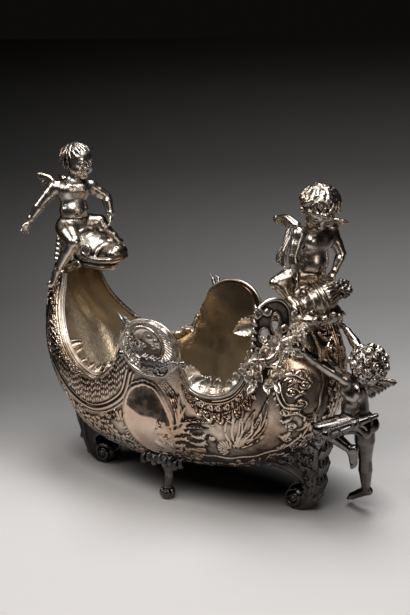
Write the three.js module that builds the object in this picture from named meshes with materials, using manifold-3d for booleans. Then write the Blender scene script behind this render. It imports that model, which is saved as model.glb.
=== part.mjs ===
// Silver-plated rococo planter: a sleigh-shaped bowl on four feet, with two seated putti and a third who pushes.
// Millimetres, +Z up, -X is the prow. The group is centred on its footprint, and the feet stand on z = 0.
import * as THREE from "three";
import { mergeVertices } from "three/addons/utils/BufferGeometryUtils.js";
import Module from "manifold-3d";

const wasm = await Module();
wasm.setup();

// Driving sizes
const bowlSize = { length: 455, width: 232, height: 253, wall: 3 }; // from its keel to the top of its rim
const seatGap = 0.3; // clearance left between two pieces that are soldered or bolted together
const rimBand = { height: 5, depth: 8, leafWidth: 12, leafThickness: 3 }; // moulding that caps the low parts of the rim
const relief = { height: 3, sunk: 1.8, foliage: 1.8 }; // ridges, how far they are let in, fine foliage's mean height
const roundel = { width: 92, height: 78, depth: 9, edge: 7, boss: 15, lean: 0.13 };
const shell = { length: 66, width: 24, thickness: 10 };
const sternScroll = { width: 50, height: 80, thickness: 6 };
const foot = { width: 32, prowWidth: 34, scroll: 16, sternReach: -10, prowReach: 14 }; // reach: from stud to scroll
const sideFoot = { spread: 70, paw: 11, stem: 6 };
const stud = { radius: 2.5, length: 13, clearance: 0.3 };
const nut = { flats: 9, height: 4 };
const dolphin = { length: 96, height: 52, width: 60 };
const urn = { length: 66, belly: 20, mouth: 15 };
const riderSize = 1.1; // scale of the putto on the prow
const pourerSize = 1.25; // scale of the putto on the stern
const pusherSize = 1.2; // scale of the putto behind the bowl
const pusherStand = { behind: 36, aside: 16, hips: 144 }; // from the bowl's stern, its middle and the ground

// Materials, one for each finish
const finish = (color, roughness) => new THREE.MeshStandardMaterial({ color, roughness, metalness: 1 });
const castSilver = finish(0x8f8880, 0.25);
const darkSilver = finish(0x5c5650, 0.35);
const bowlSilver = finish(0x9a9288, 0.2);
const steel = finish(0x777777, 0.4);

// The bowl's frames are drawn at this size, and are stretched to the size above.
const drawn = { length: 455, width: 232, height: 253 };
const wall = bowlSize.wall;
const stretch = {
  length: bowlSize.length / drawn.length,
  width: bowlSize.width / drawn.width,
  height: bowlSize.height / drawn.height,
};

// Frames of the bowl from prow to stern: the keel's x and z, then the rim's x, half width and z, then fullness.
// A fullness of 1 is a round section, and 0.5 is a full belly with a flat floor.
const frames = [
  [-243, 298, -208, 38, 297, 1],
  [-248, 272, -206, 44, 278, 1],
  [-249, 240, -199, 60, 243, 0.95],
  [-243, 200, -174, 83, 205, 0.9],
  [-228, 158, -142, 97, 180, 0.85],
  [-203, 112, -108, 102, 171, 0.8],
  [-166, 71, -84, 105, 187, 0.75],
  [-127, 54, -71, 108, 210, 0.7],
  [-92, 48, -61, 112, 238, 0.66],
  [-60, 45, -43, 115, 259, 0.63],
  [-25, 45, -15, 116, 268, 0.64],
  [10, 46, 12, 114, 260, 0.66],
  [37, 48, 24, 111, 238, 0.7],
  [61, 51, 26, 108, 208, 0.74],
  [86, 56, 41, 106, 182, 0.78],
  [110, 63, 70, 105, 175, 0.8],
  [134, 73, 100, 104, 185, 0.82],
  [157, 87, 117, 101, 206, 0.82],
  [178, 107, 121, 96, 230, 0.8],
  [195, 140, 130, 87, 246, 0.8],
  [204, 172, 142, 73, 256, 0.82],
  [206, 205, 153, 57, 264, 0.85],
  [201, 238, 161, 40, 272, 0.9],
  [190, 266, 166, 25, 279, 1],
].map(([kx, kz, rx, ry, rz, full]) => ({
  keel: new THREE.Vector3(kx * stretch.length, 0, kz * stretch.height),
  rim: new THREE.Vector3(rx * stretch.length, ry * stretch.width, rz * stretch.height),
  full,
}));
const lastFrame = frames.length - 1;
const frameStep = 0.5; // share of a frame from one row of points to the next
const keelLine = new THREE.CatmullRomCurve3(frames.map((f) => f.keel));
const rimLine = new THREE.CatmullRomCurve3(frames.map((f) => f.rim));
const fullLine = new THREE.CatmullRomCurve3(frames.map((f, i) => new THREE.Vector3(i, f.full, 0)));

const vec = (x, y, z) => new THREE.Vector3(x, y, z);
const near = -1; // the side of the bowl that the viewer sees
const far = 1;

// A point of the bowl's outer surface: frame number u, share v of the way from keel to rim, side near or far.
function bowlPoint(u, v, side) {
  const t = THREE.MathUtils.clamp(u / lastFrame, 0, 1);
  const keel = keelLine.getPoint(t);
  const rim = rimLine.getPoint(t);
  const full = fullLine.getPoint(t).y;
  const even = v ** (1 / full) / (v ** (1 / full) + (1 - v) ** (1 / full));
  const angle = (even * Math.PI) / 2;
  const down = Math.max(0, Math.cos(angle)) ** full;
  const out = Math.max(0, Math.sin(angle)) ** full;
  return vec(
    rim.x + (keel.x - rim.x) * down,
    side * rim.y * out,
    rim.z + (keel.z - rim.z) * down,
  );
}

// The outward normal there, by differences.
function bowlNormal(u, v, side) {
  const du = 0.02;
  const dv = 0.01;
  const along = bowlPoint(Math.min(u + du, lastFrame), v, side).sub(bowlPoint(Math.max(u - du, 0), v, side));
  const up = bowlPoint(u, Math.min(v + dv, 1), side).sub(bowlPoint(u, Math.max(v - dv, 0), side));
  return along.cross(up).multiplyScalar(-side).normalize();
}

// A closed solid from two grids of points, an outer and an inner one, stitched along their edges.
function slab(outer, inner) {
  const rows = outer.length;
  const columns = outer[0].length;
  const points = [...outer.flat(), ...inner.flat()];
  const at = (layer, i, j) => layer * rows * columns + i * columns + j;
  const faces = [];
  const quad = (a, b, c, d) => faces.push(a, b, c, a, c, d);
  for (let i = 0; i < rows - 1; i++)
    for (let j = 0; j < columns - 1; j++) {
      quad(at(0, i, j), at(0, i + 1, j), at(0, i + 1, j + 1), at(0, i, j + 1));
      quad(at(1, i, j), at(1, i, j + 1), at(1, i + 1, j + 1), at(1, i + 1, j));
    }
  for (let i = 0; i < rows - 1; i++) {
    quad(at(0, i, 0), at(1, i, 0), at(1, i + 1, 0), at(0, i + 1, 0));
    quad(at(0, i + 1, columns - 1), at(1, i + 1, columns - 1), at(1, i, columns - 1), at(0, i, columns - 1));
  }
  for (let j = 0; j < columns - 1; j++) {
    quad(at(0, 0, j + 1), at(1, 0, j + 1), at(1, 0, j), at(0, 0, j));
    quad(at(0, rows - 1, j), at(1, rows - 1, j), at(1, rows - 1, j + 1), at(0, rows - 1, j + 1));
  }
  const geometry = new THREE.BufferGeometry().setFromPoints(points);
  geometry.setIndex(faces);
  return geometry;
}

// A geometry as a solid. With grow, each of its points moves outwards by that much.
function solidOf(geometry, grow = 0) {
  const bare = new THREE.BufferGeometry();
  bare.setAttribute("position", geometry.getAttribute("position"));
  if (geometry.index) bare.setIndex(geometry.index);
  const merged = mergeVertices(bare, 1e-3);
  const position = merged.getAttribute("position");
  const index = merged.index.array;
  const solid = (turned) => {
    const triVerts = new Uint32Array(index);
    if (turned)
      for (let i = 0; i < triVerts.length; i += 3)
        [triVerts[i + 1], triVerts[i + 2]] = [triVerts[i + 2], triVerts[i + 1]];
    return new wasm.Manifold(
      new wasm.Mesh({ numProp: 3, vertProperties: new Float32Array(position.array), triVerts }),
    );
  };
  const insideOut = solid(false).volume() < 0;
  if (grow) {
    const sums = Array.from({ length: position.count }, () => vec(0, 0, 0));
    const normals = Array.from({ length: position.count }, () => []);
    const [a, b, c] = [vec(0, 0, 0), vec(0, 0, 0), vec(0, 0, 0)];
    for (let i = 0; i < index.length; i += 3) {
      a.fromBufferAttribute(position, index[i]);
      b.fromBufferAttribute(position, index[i + 1]);
      c.fromBufferAttribute(position, index[i + 2]);
      const normal = b.clone().sub(a).cross(c.clone().sub(a)).normalize();
      if (insideOut) normal.negate();
      for (const k of [index[i], index[i + 1], index[i + 2]]) {
        sums[k].add(normal);
        normals[k].push(normal);
      }
    }
    for (let k = 0; k < position.count; k++) {
      const normal = sums[k].normalize();
      const least = Math.max(0.4, Math.min(...normals[k].map((n) => n.dot(normal))));
      normal.multiplyScalar(grow / least);
      position.setXYZ(k, position.getX(k) + normal.x, position.getY(k) + normal.y, position.getZ(k) + normal.z);
    }
  }
  return solid(insideOut);
}

const join = (geometries, grow) => geometries.map((g) => solidOf(g, grow)).reduce((a, b) => a.add(b));

// The finished assembly. Each piece is cut back from those that are already in place, with the seat's gap.
const planter = new THREE.Group();
const placed = [];

// Options: outside keeps the piece out of the bowl, plus is added after that, and minus is taken off at the end.
function shaped(geometries, options, grow) {
  let solid = join(geometries, grow);
  if (options.outside) solid = solid.subtract(bowlFill);
  if (options.plus) solid = solid.add(join(options.plus, grow));
  if (options.minus) solid = solid.subtract(join(options.minus));
  return solid;
}

function largestBody(solid) {
  return solid.decompose().sort((p, q) => q.volume() - p.volume())[0];
}

function geometryOf(solid) {
  const mesh = solid.getMesh();
  const points = new Float32Array(mesh.numVert * 3);
  for (let i = 0; i < mesh.numVert; i++)
    points.set(mesh.vertProperties.subarray(i * mesh.numProp, i * mesh.numProp + 3), i * 3);
  const geometry = new THREE.BufferGeometry();
  geometry.setAttribute("position", new THREE.BufferAttribute(points, 3));
  geometry.setIndex(new THREE.BufferAttribute(mesh.triVerts, 1));
  return geometry;
}

function place(name, geometries, material, options = {}) {
  let solid = shaped(geometries, options, 0);
  for (const other of placed) {
    const [a, b] = [solid.boundingBox(), other.grown.boundingBox()];
    const apart = [0, 1, 2].some((k) => a.min[k] > b.max[k] || b.min[k] > a.max[k]);
    if (!apart) solid = solid.subtract(other.grown);
  }
  const whole = geometryOf(largestBody(solid));
  const body = largestBody(solidOf(whole));
  placed.push({ name, grown: shaped(geometries, options, seatGap).add(body) });
  const geometry = geometryOf(body);
  geometry.computeVertexNormals();
  const made = new THREE.Mesh(geometry, material);
  made.name = name;
  planter.add(made);
}

// Simple forms: an ellipsoid, a tapered limb with round ends, and a cylinder between two points.
function ball(centre, radii, turn = [0, 0, 0], steps = 8) {
  const geometry = new THREE.SphereGeometry(1, steps, Math.round(steps * 0.6));
  geometry.rotateX(Math.PI / 2);
  geometry.scale(...radii);
  geometry.applyMatrix4(new THREE.Matrix4().makeRotationFromEuler(new THREE.Euler(...turn)));
  return geometry.translate(centre.x, centre.y, centre.z);
}

function turned(profile, from, to, steps) {
  const axis = to.clone().sub(from);
  const geometry = new THREE.LatheGeometry(profile.map(([r, y]) => new THREE.Vector2(r, y)), steps);
  geometry.applyQuaternion(new THREE.Quaternion().setFromUnitVectors(vec(0, 1, 0), axis.normalize()));
  return geometry.translate(from.x, from.y, from.z);
}

function limb(from, to, startRadius, endRadius, steps = 8) {
  const length = from.distanceTo(to);
  const profile = [];
  for (const a of [-90, -40, 0]) profile.push([startRadius * cos(a), startRadius * sin(a)]);
  for (const a of [0, 40, 90]) profile.push([endRadius * cos(a), length + endRadius * sin(a)]);
  return turned(profile, from, to, steps);
}

function rod(from, to, radius, steps = 12) {
  const length = from.distanceTo(to);
  return turned([[0, 0], [radius, 0], [radius, length], [0, length]], from, to, steps);
}

function cos(degrees) {
  return Math.abs(degrees) === 90 ? 0 : Math.cos(THREE.MathUtils.degToRad(degrees));
}

function sin(degrees) {
  return Math.sin(THREE.MathUtils.degToRad(degrees));
}

// A plate whose outline lies in the XZ plane, as thick as depth and centred on y.
function plate(outline, depth, y = 0, holes = []) {
  const shape = new THREE.Shape(outline.map(([x, z]) => new THREE.Vector2(x, z)));
  for (const hole of holes) shape.holes.push(new THREE.Path(hole.map(([x, z]) => new THREE.Vector2(x, z))));
  const geometry = new THREE.ExtrudeGeometry(shape, { depth, bevelEnabled: false, steps: 1 });
  geometry.rotateX(Math.PI / 2);
  return geometry.translate(0, y + depth / 2, 0);
}

// A smooth outline through a few points.
function smooth(points, count, closed = true) {
  const curve = new THREE.CatmullRomCurve3(points.map(([x, z]) => vec(x, 0, z)), closed, "centripetal");
  const found = curve.getPoints(count).map((p) => [p.x, p.z]);
  if (closed) found.pop();
  return found;
}

// A foot's piece with all that lies below the ground pressed flat, as its sole.
function soled(geometry) {
  const position = geometry.getAttribute("position");
  for (let i = 0; i < position.count; i++) position.setZ(i, Math.max(0, position.getZ(i)));
  return geometry;
}

// The bowl. Its studs' holes are bored through the wall.
const attach = {
  stern_foot: { u: 17.2, v: 0, side: near },
  prow_foot: { u: 5.7, v: 0, side: near },
  side_foot_near: { u: 10.2, v: 0.36, side: near },
  side_foot_far: { u: 10.2, v: 0.36, side: far },
};

function studAxis(name) {
  const { u, v, side } = attach[name];
  const point = bowlPoint(u, Math.max(v, 0.001), side);
  const normal = bowlNormal(u, Math.max(v, 0.02), side);
  if (v === 0) normal.setY(0).normalize();
  return { point, normal };
}

function studRod(name, radius, outside) {
  const { point, normal } = studAxis(name);
  const inner = point.clone().addScaledVector(normal, -stud.length);
  return rod(inner, point.clone().addScaledVector(normal, outside), radius);
}

// The fine foliage along the keel and the lattice beside the prow's rim thicken the wall by their mean height.
// The foliage ends at these shares of the way from keel to rim, from frame to frame.
const foliageEnds = [
  [0, 0.4], [3, 0.47], [5, 0.57], [7, 0.57], [8, 0.47], [10, 0.34], [13, 0.39], [17, 0.46], [23, 0.5],
];
function foliage(u, v) {
  const { smoothstep, mapLinear } = THREE.MathUtils;
  const next = Math.max(1, foliageEnds.findIndex(([frame]) => frame >= u));
  const [from, to] = [foliageEnds[next - 1], foliageEnds[next]];
  const top = mapLinear(u, from[0], to[0], from[1], to[1]);
  const low = smoothstep(top - v, -0.06, 0.06) * smoothstep(u, 3, 5) * (1 - smoothstep(u, 17, 19));
  const lattice = v > 0.75 && v < 0.95 ? smoothstep(u, 1, 3) * (1 - smoothstep(u, 7, 8.5)) : 0;
  return relief.foliage * Math.max(low, lattice);
}

// The bowl's surface as a grid from the near rim over the keel to the far rim, moved outwards by offset.
function bowlLayer(offset, flat = false) {
  const across = 6;
  const rows = [];
  for (let u = 0; u <= lastFrame; u += frameStep) {
    const lift = bowlPoint(u, 1, near).sub(bowlPoint(u, 0, near)).setY(0).normalize();
    const row = [];
    for (let k = -across; k <= across; k++) {
      const side = k < 0 ? near : far;
      const v = Math.abs(k) / across;
      const point = bowlPoint(u, v, side);
      const normal = bowlNormal(u, Math.max(v, 0.02), side);
      if (k === 0) normal.setY(0).normalize();
      if (flat) {
        const rim = bowlPoint(u, 1, side);
        point.set(rim.x, point.y, rim.z).addScaledVector(lift, 1);
      } else point.addScaledVector(normal, offset < 0 ? offset : offset + foliage(u, v));
      row.push(point);
    }
    rows.push(row);
  }
  return rows;
}

// All that lies within the bowl's outer surface, up to the rim.
const bowlFill = solidOf(slab(bowlLayer(seatGap), bowlLayer(0, true)));

// The frame number and share of the flank's point that is seen at x and z from the side.
const flankPoints = [];
for (let u = 0; u <= lastFrame; u += 0.1)
  for (let v = 0.04; v < 1; v += 0.04) flankPoints.push({ u, v, at: bowlPoint(u, v, near) });

function onFlank(x, z) {
  const miss = ({ at }) => Math.hypot(at.x - x, at.z - z);
  let { u, v } = flankPoints.reduce((best, p) => (miss(p) < miss(best) ? p : best));
  const step = 0.01;
  for (let round = 0; round < 4; round++) {
    const at = bowlPoint(u, v, near);
    const along = bowlPoint(u + step, v, near).sub(at).divideScalar(step);
    const up = bowlPoint(u, v - step, near).sub(at).divideScalar(-step);
    const area = along.x * up.z - up.x * along.z;
    const [dx, dz] = [x - at.x, z - at.z];
    u = THREE.MathUtils.clamp(u + (up.z * dx - up.x * dz) / area, 0.1, lastFrame);
    v = THREE.MathUtils.clamp(v + (along.x * dz - along.z * dx) / area, 0.03, 0.99);
  }
  return { u, v };
}

// A raised band on the flank. Its points are given as seen from the side, and an open band narrows to its ends.
function applied(points, count, width, side, closed = false, height = relief.height) {
  const route = smooth(points.map(([x, z]) => [x * stretch.length, z * stretch.height]), count, closed);
  const places = route.map(([x, z]) => {
    const { u, v } = onFlank(x, z);
    const normal = bowlNormal(u, v, side);
    return { point: bowlPoint(u, v, side).addScaledVector(normal, foliage(u, v) * 0.6), normal };
  });
  const last = places.length - 1;
  const sections = places.map(({ point, normal }, i) => {
    const before = places[closed ? (i + last) % (last + 1) : Math.max(i - 1, 0)].point;
    const after = places[closed ? (i + 1) % (last + 1) : Math.min(i + 1, last)].point;
    const across = after.clone().sub(before).cross(normal).normalize();
    const share = closed ? 1 : 0.2 + 0.8 * Math.sin(Math.PI * (0.1 + (0.86 * i) / last)) ** 0.8;
    const corner = (aside, lift) =>
      point.clone().addScaledVector(across, aside * width * share).addScaledVector(normal, lift);
    return [corner(-0.5, -relief.sunk), corner(0, height * (0.4 + 0.6 * share)), corner(0.5, -relief.sunk)];
  });
  const faces = [];
  for (let i = 0; i < (closed ? last + 1 : last); i++) {
    const [a, b] = [i * 3, ((i + 1) % (last + 1)) * 3];
    for (let k = 0; k < 3; k++) {
      const n = (k + 1) % 3;
      faces.push(a + k, b + k, b + n, a + k, b + n, a + n);
    }
  }
  if (!closed) faces.push(0, 1, 2, last * 3, last * 3 + 2, last * 3 + 1);
  const geometry = new THREE.BufferGeometry().setFromPoints(sections.flat());
  geometry.setIndex(faces);
  return geometry;
}

// The cast ornament of one flank: x and z of its middle lines, as seen from the side.
function ornament(side) {
  const band = (points, count, width, height) => applied(points, count, width, side, false, height);
  const oval = [
    [-26, 181], [-45, 171], [-56, 152], [-60, 130], [-59, 108], [-52, 92], [-40, 78], [-24, 70], [-6, 70], [6, 82],
    [11, 106], [11, 130], [5, 152], [-9, 176],
  ];
  return [
    applied(oval, 18, 8, side, true),
    band([[-221, 278], [-227, 249], [-221, 206], [-197, 172], [-163, 137], [-128, 123], [-100, 128], [-60, 157], [-46, 194]], 10, 9),
    band([[22, 174], [32, 158], [44, 150], [64, 147], [84, 153], [102, 166], [117, 178], [131, 192]], 7, 11),
    band([[-186, 132], [-158, 109], [-128, 92], [-98, 77], [-70, 62]], 4, 16, 3),
    band([[-4, 112], [25, 125], [45, 130], [68, 136]], 3, 18),
    band([[-2, 100], [22, 100], [42, 104], [62, 112]], 3, 18),
    band([[72, 112], [84, 117], [97, 112]], 2, 20),
    band([[100, 108], [97, 130], [102, 150], [111, 163]], 3, 8),
    band([[101, 109], [120, 135], [127, 152], [132, 167]], 3, 8),
    band([[103, 109], [131, 140], [142, 163], [147, 183]], 3, 7),
    band([[183, 206], [172, 214], [162, 212], [157, 198], [160, 182], [167, 171], [182, 168]], 7, 7),
  ];
}

function makeBowl() {
  const holes = Object.keys(attach).map((name) => studRod(name, stud.radius + stud.clearance, wall * 2));
  const shellOfBowl = slab(bowlLayer(0), bowlLayer(-wall));
  place("bowl", [shellOfBowl, ...ornament(near), ...ornament(far)], bowlSilver, { minus: holes });
}

// The rim's line at frame u: its point, the outward normal and the direction that carries the wall on upwards.
function rimAt(u, side) {
  const point = bowlPoint(u, 1, side);
  const normal = bowlNormal(u, 1, side);
  const tangent = bowlPoint(u + 0.05, 1, side).sub(bowlPoint(u - 0.05, 1, side)).normalize();
  const beyond = tangent.clone().cross(normal).multiplyScalar(side).normalize();
  const at = (along, height, depth) =>
    point.clone().addScaledVector(tangent, along).addScaledVector(beyond, height).addScaledVector(normal, depth - wall / 2);
  return at;
}

// A band that stands on the rim from frame start to frame end.
function rimStrip(start, end, side) {
  const outer = [];
  const inner = [];
  const depths = [0.5, 0.5, 0.2].map((share) => share * rimBand.depth);
  for (let u = start; u <= end; u += frameStep) {
    const at = rimAt(u, side);
    const levels = [seatGap * 1.8, rimBand.height * 0.6, rimBand.height];
    outer.push(levels.map((height, k) => at(0, height, depths[k])));
    inner.push(levels.map((height, k) => at(0, height, -depths[k])));
  }
  return slab(outer, inner);
}

// Acanthus leaves that rise from the band: each has its frame number and its length.
function rimLeaves(leaves, side) {
  return leaves.map(([u, length]) => {
    const at = rimAt(u, side);
    const rows = [0, 0.6, 1].map((t, i) => {
      const half = (rimBand.leafWidth / 2) * [0.8, 1, 0.12][i];
      const height = rimBand.height * 0.5 + length * t;
      return [-1, 0, 1].map((k) => [half * k, height, 2.5 * t * t - (k ? 0 : 1.2)]);
    });
    const layer = (offset) => rows.map((row) => row.map(([a, h, d]) => at(a, h, d + offset)));
    return slab(layer(rimBand.leafThickness / 2), layer(-rimBand.leafThickness / 2));
  });
}

// The roundel: a dished disc with a rolled edge and a boss, and a lug that rests on the bowl.
function makeRoundel(name, side) {
  const { width, height, depth, edge, boss, lean } = roundel;
  const radius = width / 2;
  const top = frames[10].rim;
  const centre = vec(top.x, side * (top.y - (height / 2) * Math.sin(lean) + 1.6), top.z + 4 - height / 2);
  const profile = [
    [0, 0],
    [radius - edge, 0],
    [radius - edge * 0.3, depth * 0.3],
    [radius, depth * 0.7],
    [radius - edge * 0.4, depth * 1.15],
    [radius - edge, depth],
    [radius - edge * 1.6, depth * 0.5],
    [boss * 1.3, depth * 0.55],
    [boss, depth * 1.2],
    [boss * 0.5, depth * 1.6],
    [0, depth * 1.7],
  ];
  const disc = turned(profile, vec(0, 0, 0), vec(0, side, 0), 20);
  disc.scale(1, 1, height / width);
  disc.rotateX(-side * lean);
  disc.translate(centre.x, centre.y, centre.z);
  place(name, [disc], castSilver, { outside: true });
  return centre;
}

// The shell that curls out from the roundel over the waist.
function makeShell(name, side, centre) {
  const { length, width, thickness } = shell;
  const rows = 8;
  const outer = [];
  const inner = [];
  for (let i = 0; i <= rows; i++) {
    const t = i / rows;
    const middle = vec(
      centre.x - length * 0.12 + length * t,
      centre.y + side * (roundel.depth * 0.9 + 7 * Math.sin(t * Math.PI)),
      centre.z - 24 + 18 * t * t,
    );
    const half = (width / 2) * Math.sin(Math.PI * (0.12 + 0.8 * t) ** 0.75);
    outer.push([-1, -0.5, 0, 0.5, 1].map((k) => middle.clone().add(vec(0, side * (thickness / 2) * (1.1 - k * k), -half * k))));
    inner.push([-1, -0.5, 0, 0.5, 1].map((k) => middle.clone().add(vec(0, -side * thickness * 0.55, -half * k * 0.9))));
  }
  place(name, [slab(outer, inner)], castSilver, { outside: true });
}

// The pierced scroll beside the stern's seat.
function makeSternScroll(name, side) {
  const { width, height, thickness } = sternScroll;
  const base = frames[18].rim;
  const outline = smooth(
    [[0, 0.02], [-0.02, 0.3], [0.03, 0.62], [0.18, 0.9], [0.45, 1], [0.8, 0.97], [1, 0.8], [0.98, 0.45], [0.8, 0.3], [0.5, 0.14], [0.25, -0.02]],
    30,
  ).map(([x, z]) => [x * width, z * height]);
  const hole = (cx, cz, rx, rz) => {
    const points = [];
    for (let a = 0; a < 360; a += 45) points.push([(cx + rx * cos(a)) * width, (cz + rz * sin(a)) * height]);
    return points;
  };
  const geometry = plate(outline, thickness, 0, [hole(0.3, 0.47, 0.12, 0.11), hole(0.62, 0.6, 0.11, 0.16)]);
  geometry.rotateZ(side === near ? 0.9 : -0.9);
  geometry.translate(base.x + 4, side * (base.y - 3), base.z - 1);
  place(name, [geometry], castSilver);
}

// The bracket foot at each end: an extruded S outline that ends in a scroll, with an eye on each face.
function bracketFoot(outline, scroll, width) {
  const eye = (depth, radius) => rod(vec(scroll.x, -depth / 2, scroll.z), vec(scroll.x, depth / 2, scroll.z), radius, 16);
  return [
    soled(plate(outline, width)),
    soled(eye(width, foot.scroll)),
    eye(width + 6, foot.scroll * 0.45),
  ];
}

function makeEndFeet() {
  const reach = studAxis("stern_foot").point.x + foot.sternReach; // x of the stern scroll's centre
  const roof = 112 * stretch.height;
  const sternOutline = smooth(
    [
      [reach - 5, -1], [reach + 8, -1], [reach + 18, 5], [reach + 28, 24], [reach + 33, 58], [reach + 35, 92],
      [reach + 44, roof + 8], [reach + 16, roof], [reach - 22, 88], [reach - 60, 62], [reach - 96, 49], [reach - 94, 40],
      [reach - 78, 45], [reach - 52, 55], [reach - 12, 52], [reach + 11, 38], [reach + 9, 22], [reach - 6, 18],
    ],
    44,
  );
  const seated = (name) => ({ outside: true, plus: [studRod(name, stud.radius, 12)] });
  const sternEye = { x: reach - 1, z: foot.scroll - 0.5 };
  place("stern_foot", bracketFoot(sternOutline, sternEye, foot.width), darkSilver, seated("stern_foot"));
  const prow = studAxis("prow_foot").point;
  const heel = prow.x + foot.prowReach; // x of the prow scroll's centre
  const prowOutline = smooth(
    [
      [heel + 6, -1], [heel - 8, -1], [heel - 18, 5], [heel - 30, 18], [heel - 40, 44], [heel - 48, 84], [heel - 10, 110],
      [heel + 30, 74], [heel + 24, 50], [heel - 2, 44], [heel - 12, 34], [heel - 6, 24], [heel + 6, 20],
    ],
    36,
  );
  const prowEye = { x: heel + 1, z: foot.scroll - 0.5 };
  place("prow_foot", bracketFoot(prowOutline, prowEye, foot.prowWidth), darkSilver, seated("prow_foot"));
}

function makeSideFoot(name, side) {
  const { point } = studAxis(name);
  const { spread, paw, stem } = sideFoot;
  const y = side * spread;
  const x = point.x;
  place(
    name,
    [
      soled(ball(vec(x, y, paw * 0.7), [paw, paw, paw * 0.85], [0, 0, 0], 12)),
      limb(vec(x + 1, y, paw), vec(x + 4, y, 34), stem * 0.9, stem),
      limb(vec(x + 4, y, 34), vec(x, y * 0.93, 62), stem, stem * 2.6),
      ball(vec(x - 18, y, 58), [34, 16, 12], [0, 0.12, 0], 8),
    ],
    darkSilver,
    { outside: true, plus: [studRod(name, stud.radius, 14)] },
  );
}

function makeNut(name, of) {
  const { point, normal } = studAxis(of);
  const seat = point.clone().addScaledVector(normal, -wall - seatGap);
  const top = seat.clone().addScaledVector(normal, -nut.height - 1.2);
  const start = seat.clone().addScaledVector(normal, -1.2);
  const bore = rod(point, top.clone().addScaledVector(normal, -4), stud.radius + stud.clearance);
  place(name, [rod(start, top, nut.flats / 2 / cos(30), 6)], steel, { minus: [bore] });
}

// The dolphin's head that closes the prow.
const neck = vec((frames[0].keel.x + frames[0].rim.x) / 2, 0, frames[0].rim.z);
function makeDolphin() {
  const { length, height, width } = dolphin;
  const p = (x, y, z) => vec(neck.x + x * length, y * width, neck.z + z * height);
  place(
    "dolphin_head",
    [
      ball(p(0.12, 0, 0.35), [length * 0.26, width * 0.46, height * 0.5], [0, 0, 0], 10),
      ball(p(0.42, 0, 0.5), [length * 0.34, width * 0.5, height * 0.42], [0, 0.1, 0], 10),
      limb(p(0.4, 0, 0.42), p(0.86, 0, 0.42), height * 0.36, height * 0.21),
      limb(p(0.35, 0, 0.18), p(0.76, 0, 0.12), height * 0.26, height * 0.14),
      ball(p(0.93, 0, 0.5), [length * 0.1, width * 0.26, height * 0.17]),
      ball(p(0.5, 0.34, 0.62), [length * 0.11, width * 0.14, height * 0.17]),
      ball(p(0.5, -0.34, 0.62), [length * 0.11, width * 0.14, height * 0.17]),
      limb(p(0.15, 0.32, 0.3), p(-0.05, 0.5, 0.15), height * 0.2, height * 0.06),
      limb(p(0.15, -0.32, 0.3), p(-0.05, -0.5, 0.15), height * 0.2, height * 0.06),
    ],
    castSilver,
  );
  return p(0.2, 0, 0.88);
}

// The rocaille seat on the stern, the urn on it and the fruit at the urn's foot.
const sternTop = vec((frames[lastFrame].keel.x + frames[lastFrame].rim.x) / 2, 0, frames[lastFrame].rim.z);
const urnAxis = vec(0.68, 0.64, 0.35).normalize();
function makeStern() {
  place(
    "stern_seat",
    [
      ball(sternTop.clone().add(vec(-9, 0, -2)), [33, 44, 17], [0, 0.25, 0], 12),
      ball(sternTop.clone().add(vec(-26, 0, 20)), [23, 30, 28], [0, 0, 0], 12),
      limb(sternTop.clone().add(vec(-20, -30, 0)), sternTop.clone().add(vec(-42, -52, 2)), 13, 8),
      limb(sternTop.clone().add(vec(-20, 30, 0)), sternTop.clone().add(vec(-42, 52, 2)), 13, 8),
    ],
    darkSilver,
  );
  const mouth = sternTop.clone().add(vec(-20, -35, 11));
  const { length, belly, mouth: lip } = urn;
  const profile = [
    [0, 10], [lip - 4, 8], [lip - 2, 0], [lip + 2, 0], [lip + 2, 3], [lip - 3, 8], [lip - 2, 14],
    [belly - 1, length * 0.36], [belly, length * 0.5], [belly - 2, length * 0.66], [belly * 0.7, length * 0.8],
    [belly * 0.38, length * 0.9], [0, length * 0.94],
  ];
  place("urn", [turned(profile, mouth, mouth.clone().add(urnAxis), 16)], castSilver);
  const end = mouth.clone().addScaledVector(urnAxis, length);
  place(
    "urn_fruit",
    [[0, 0, 0, 11], [4, -6, 6, 7], [7, 4, -4, 8], [2, -7, -7, 7]].map(([x, y, z, size]) =>
      ball(end.clone().add(vec(x, y, z)), [size, size, size], [0, 0, 0], 6)),
    castSilver,
  );
  return mouth;
}

// An applied garland of flowers and leaves over the stern's shoulder.
function makeGarland(name, side) {
  const blooms = [];
  const count = 7;
  for (let i = 0; i < count; i++) {
    const t = i / (count - 1);
    const u = 17.9 + 4.2 * t;
    const v = 0.93 - 0.22 * t + 0.04 * Math.sin(i * 2.1);
    const centre = bowlPoint(u, v, side).addScaledVector(bowlNormal(u, v, side), 2.5);
    const size = 11 + 2 * Math.sin(i * 1.7);
    blooms.push(ball(centre, [size, size, size], [0, 0, 0], 6));
  }
  place(name, blooms, castSilver, { outside: true });
}

// A wing: a curved blade of feathers from its root to its tip, hanging towards the drop direction.
function wing(root, tip, drop, chord, thickness = 2.4) {
  const rows = 5;
  const along = tip.clone().sub(root);
  const normal = along.clone().cross(drop).normalize();
  const outer = [];
  const inner = [];
  for (let i = 0; i <= rows; i++) {
    const t = i / rows;
    const lift = Math.sin(t * Math.PI) * 0.12;
    const start = root.clone().addScaledVector(along, t).addScaledVector(drop, -lift * chord);
    const depth = chord * (0.55 + 0.45 * Math.sin(Math.PI * (0.2 + 0.65 * t))) * (1 - 0.55 * t * t);
    const line = [0, 0.5, 1].map((k) => start.clone().addScaledVector(drop, depth * k));
    const thick = [0.8, 1, 0.5].map((k) => (k * thickness * (1.3 - 0.7 * t)) / 2);
    outer.push(line.map((p, k) => p.clone().addScaledVector(normal, thick[k])));
    inner.push(line.map((p, k) => p.clone().addScaledVector(normal, -thick[k])));
  }
  return slab(outer, inner);
}

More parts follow.
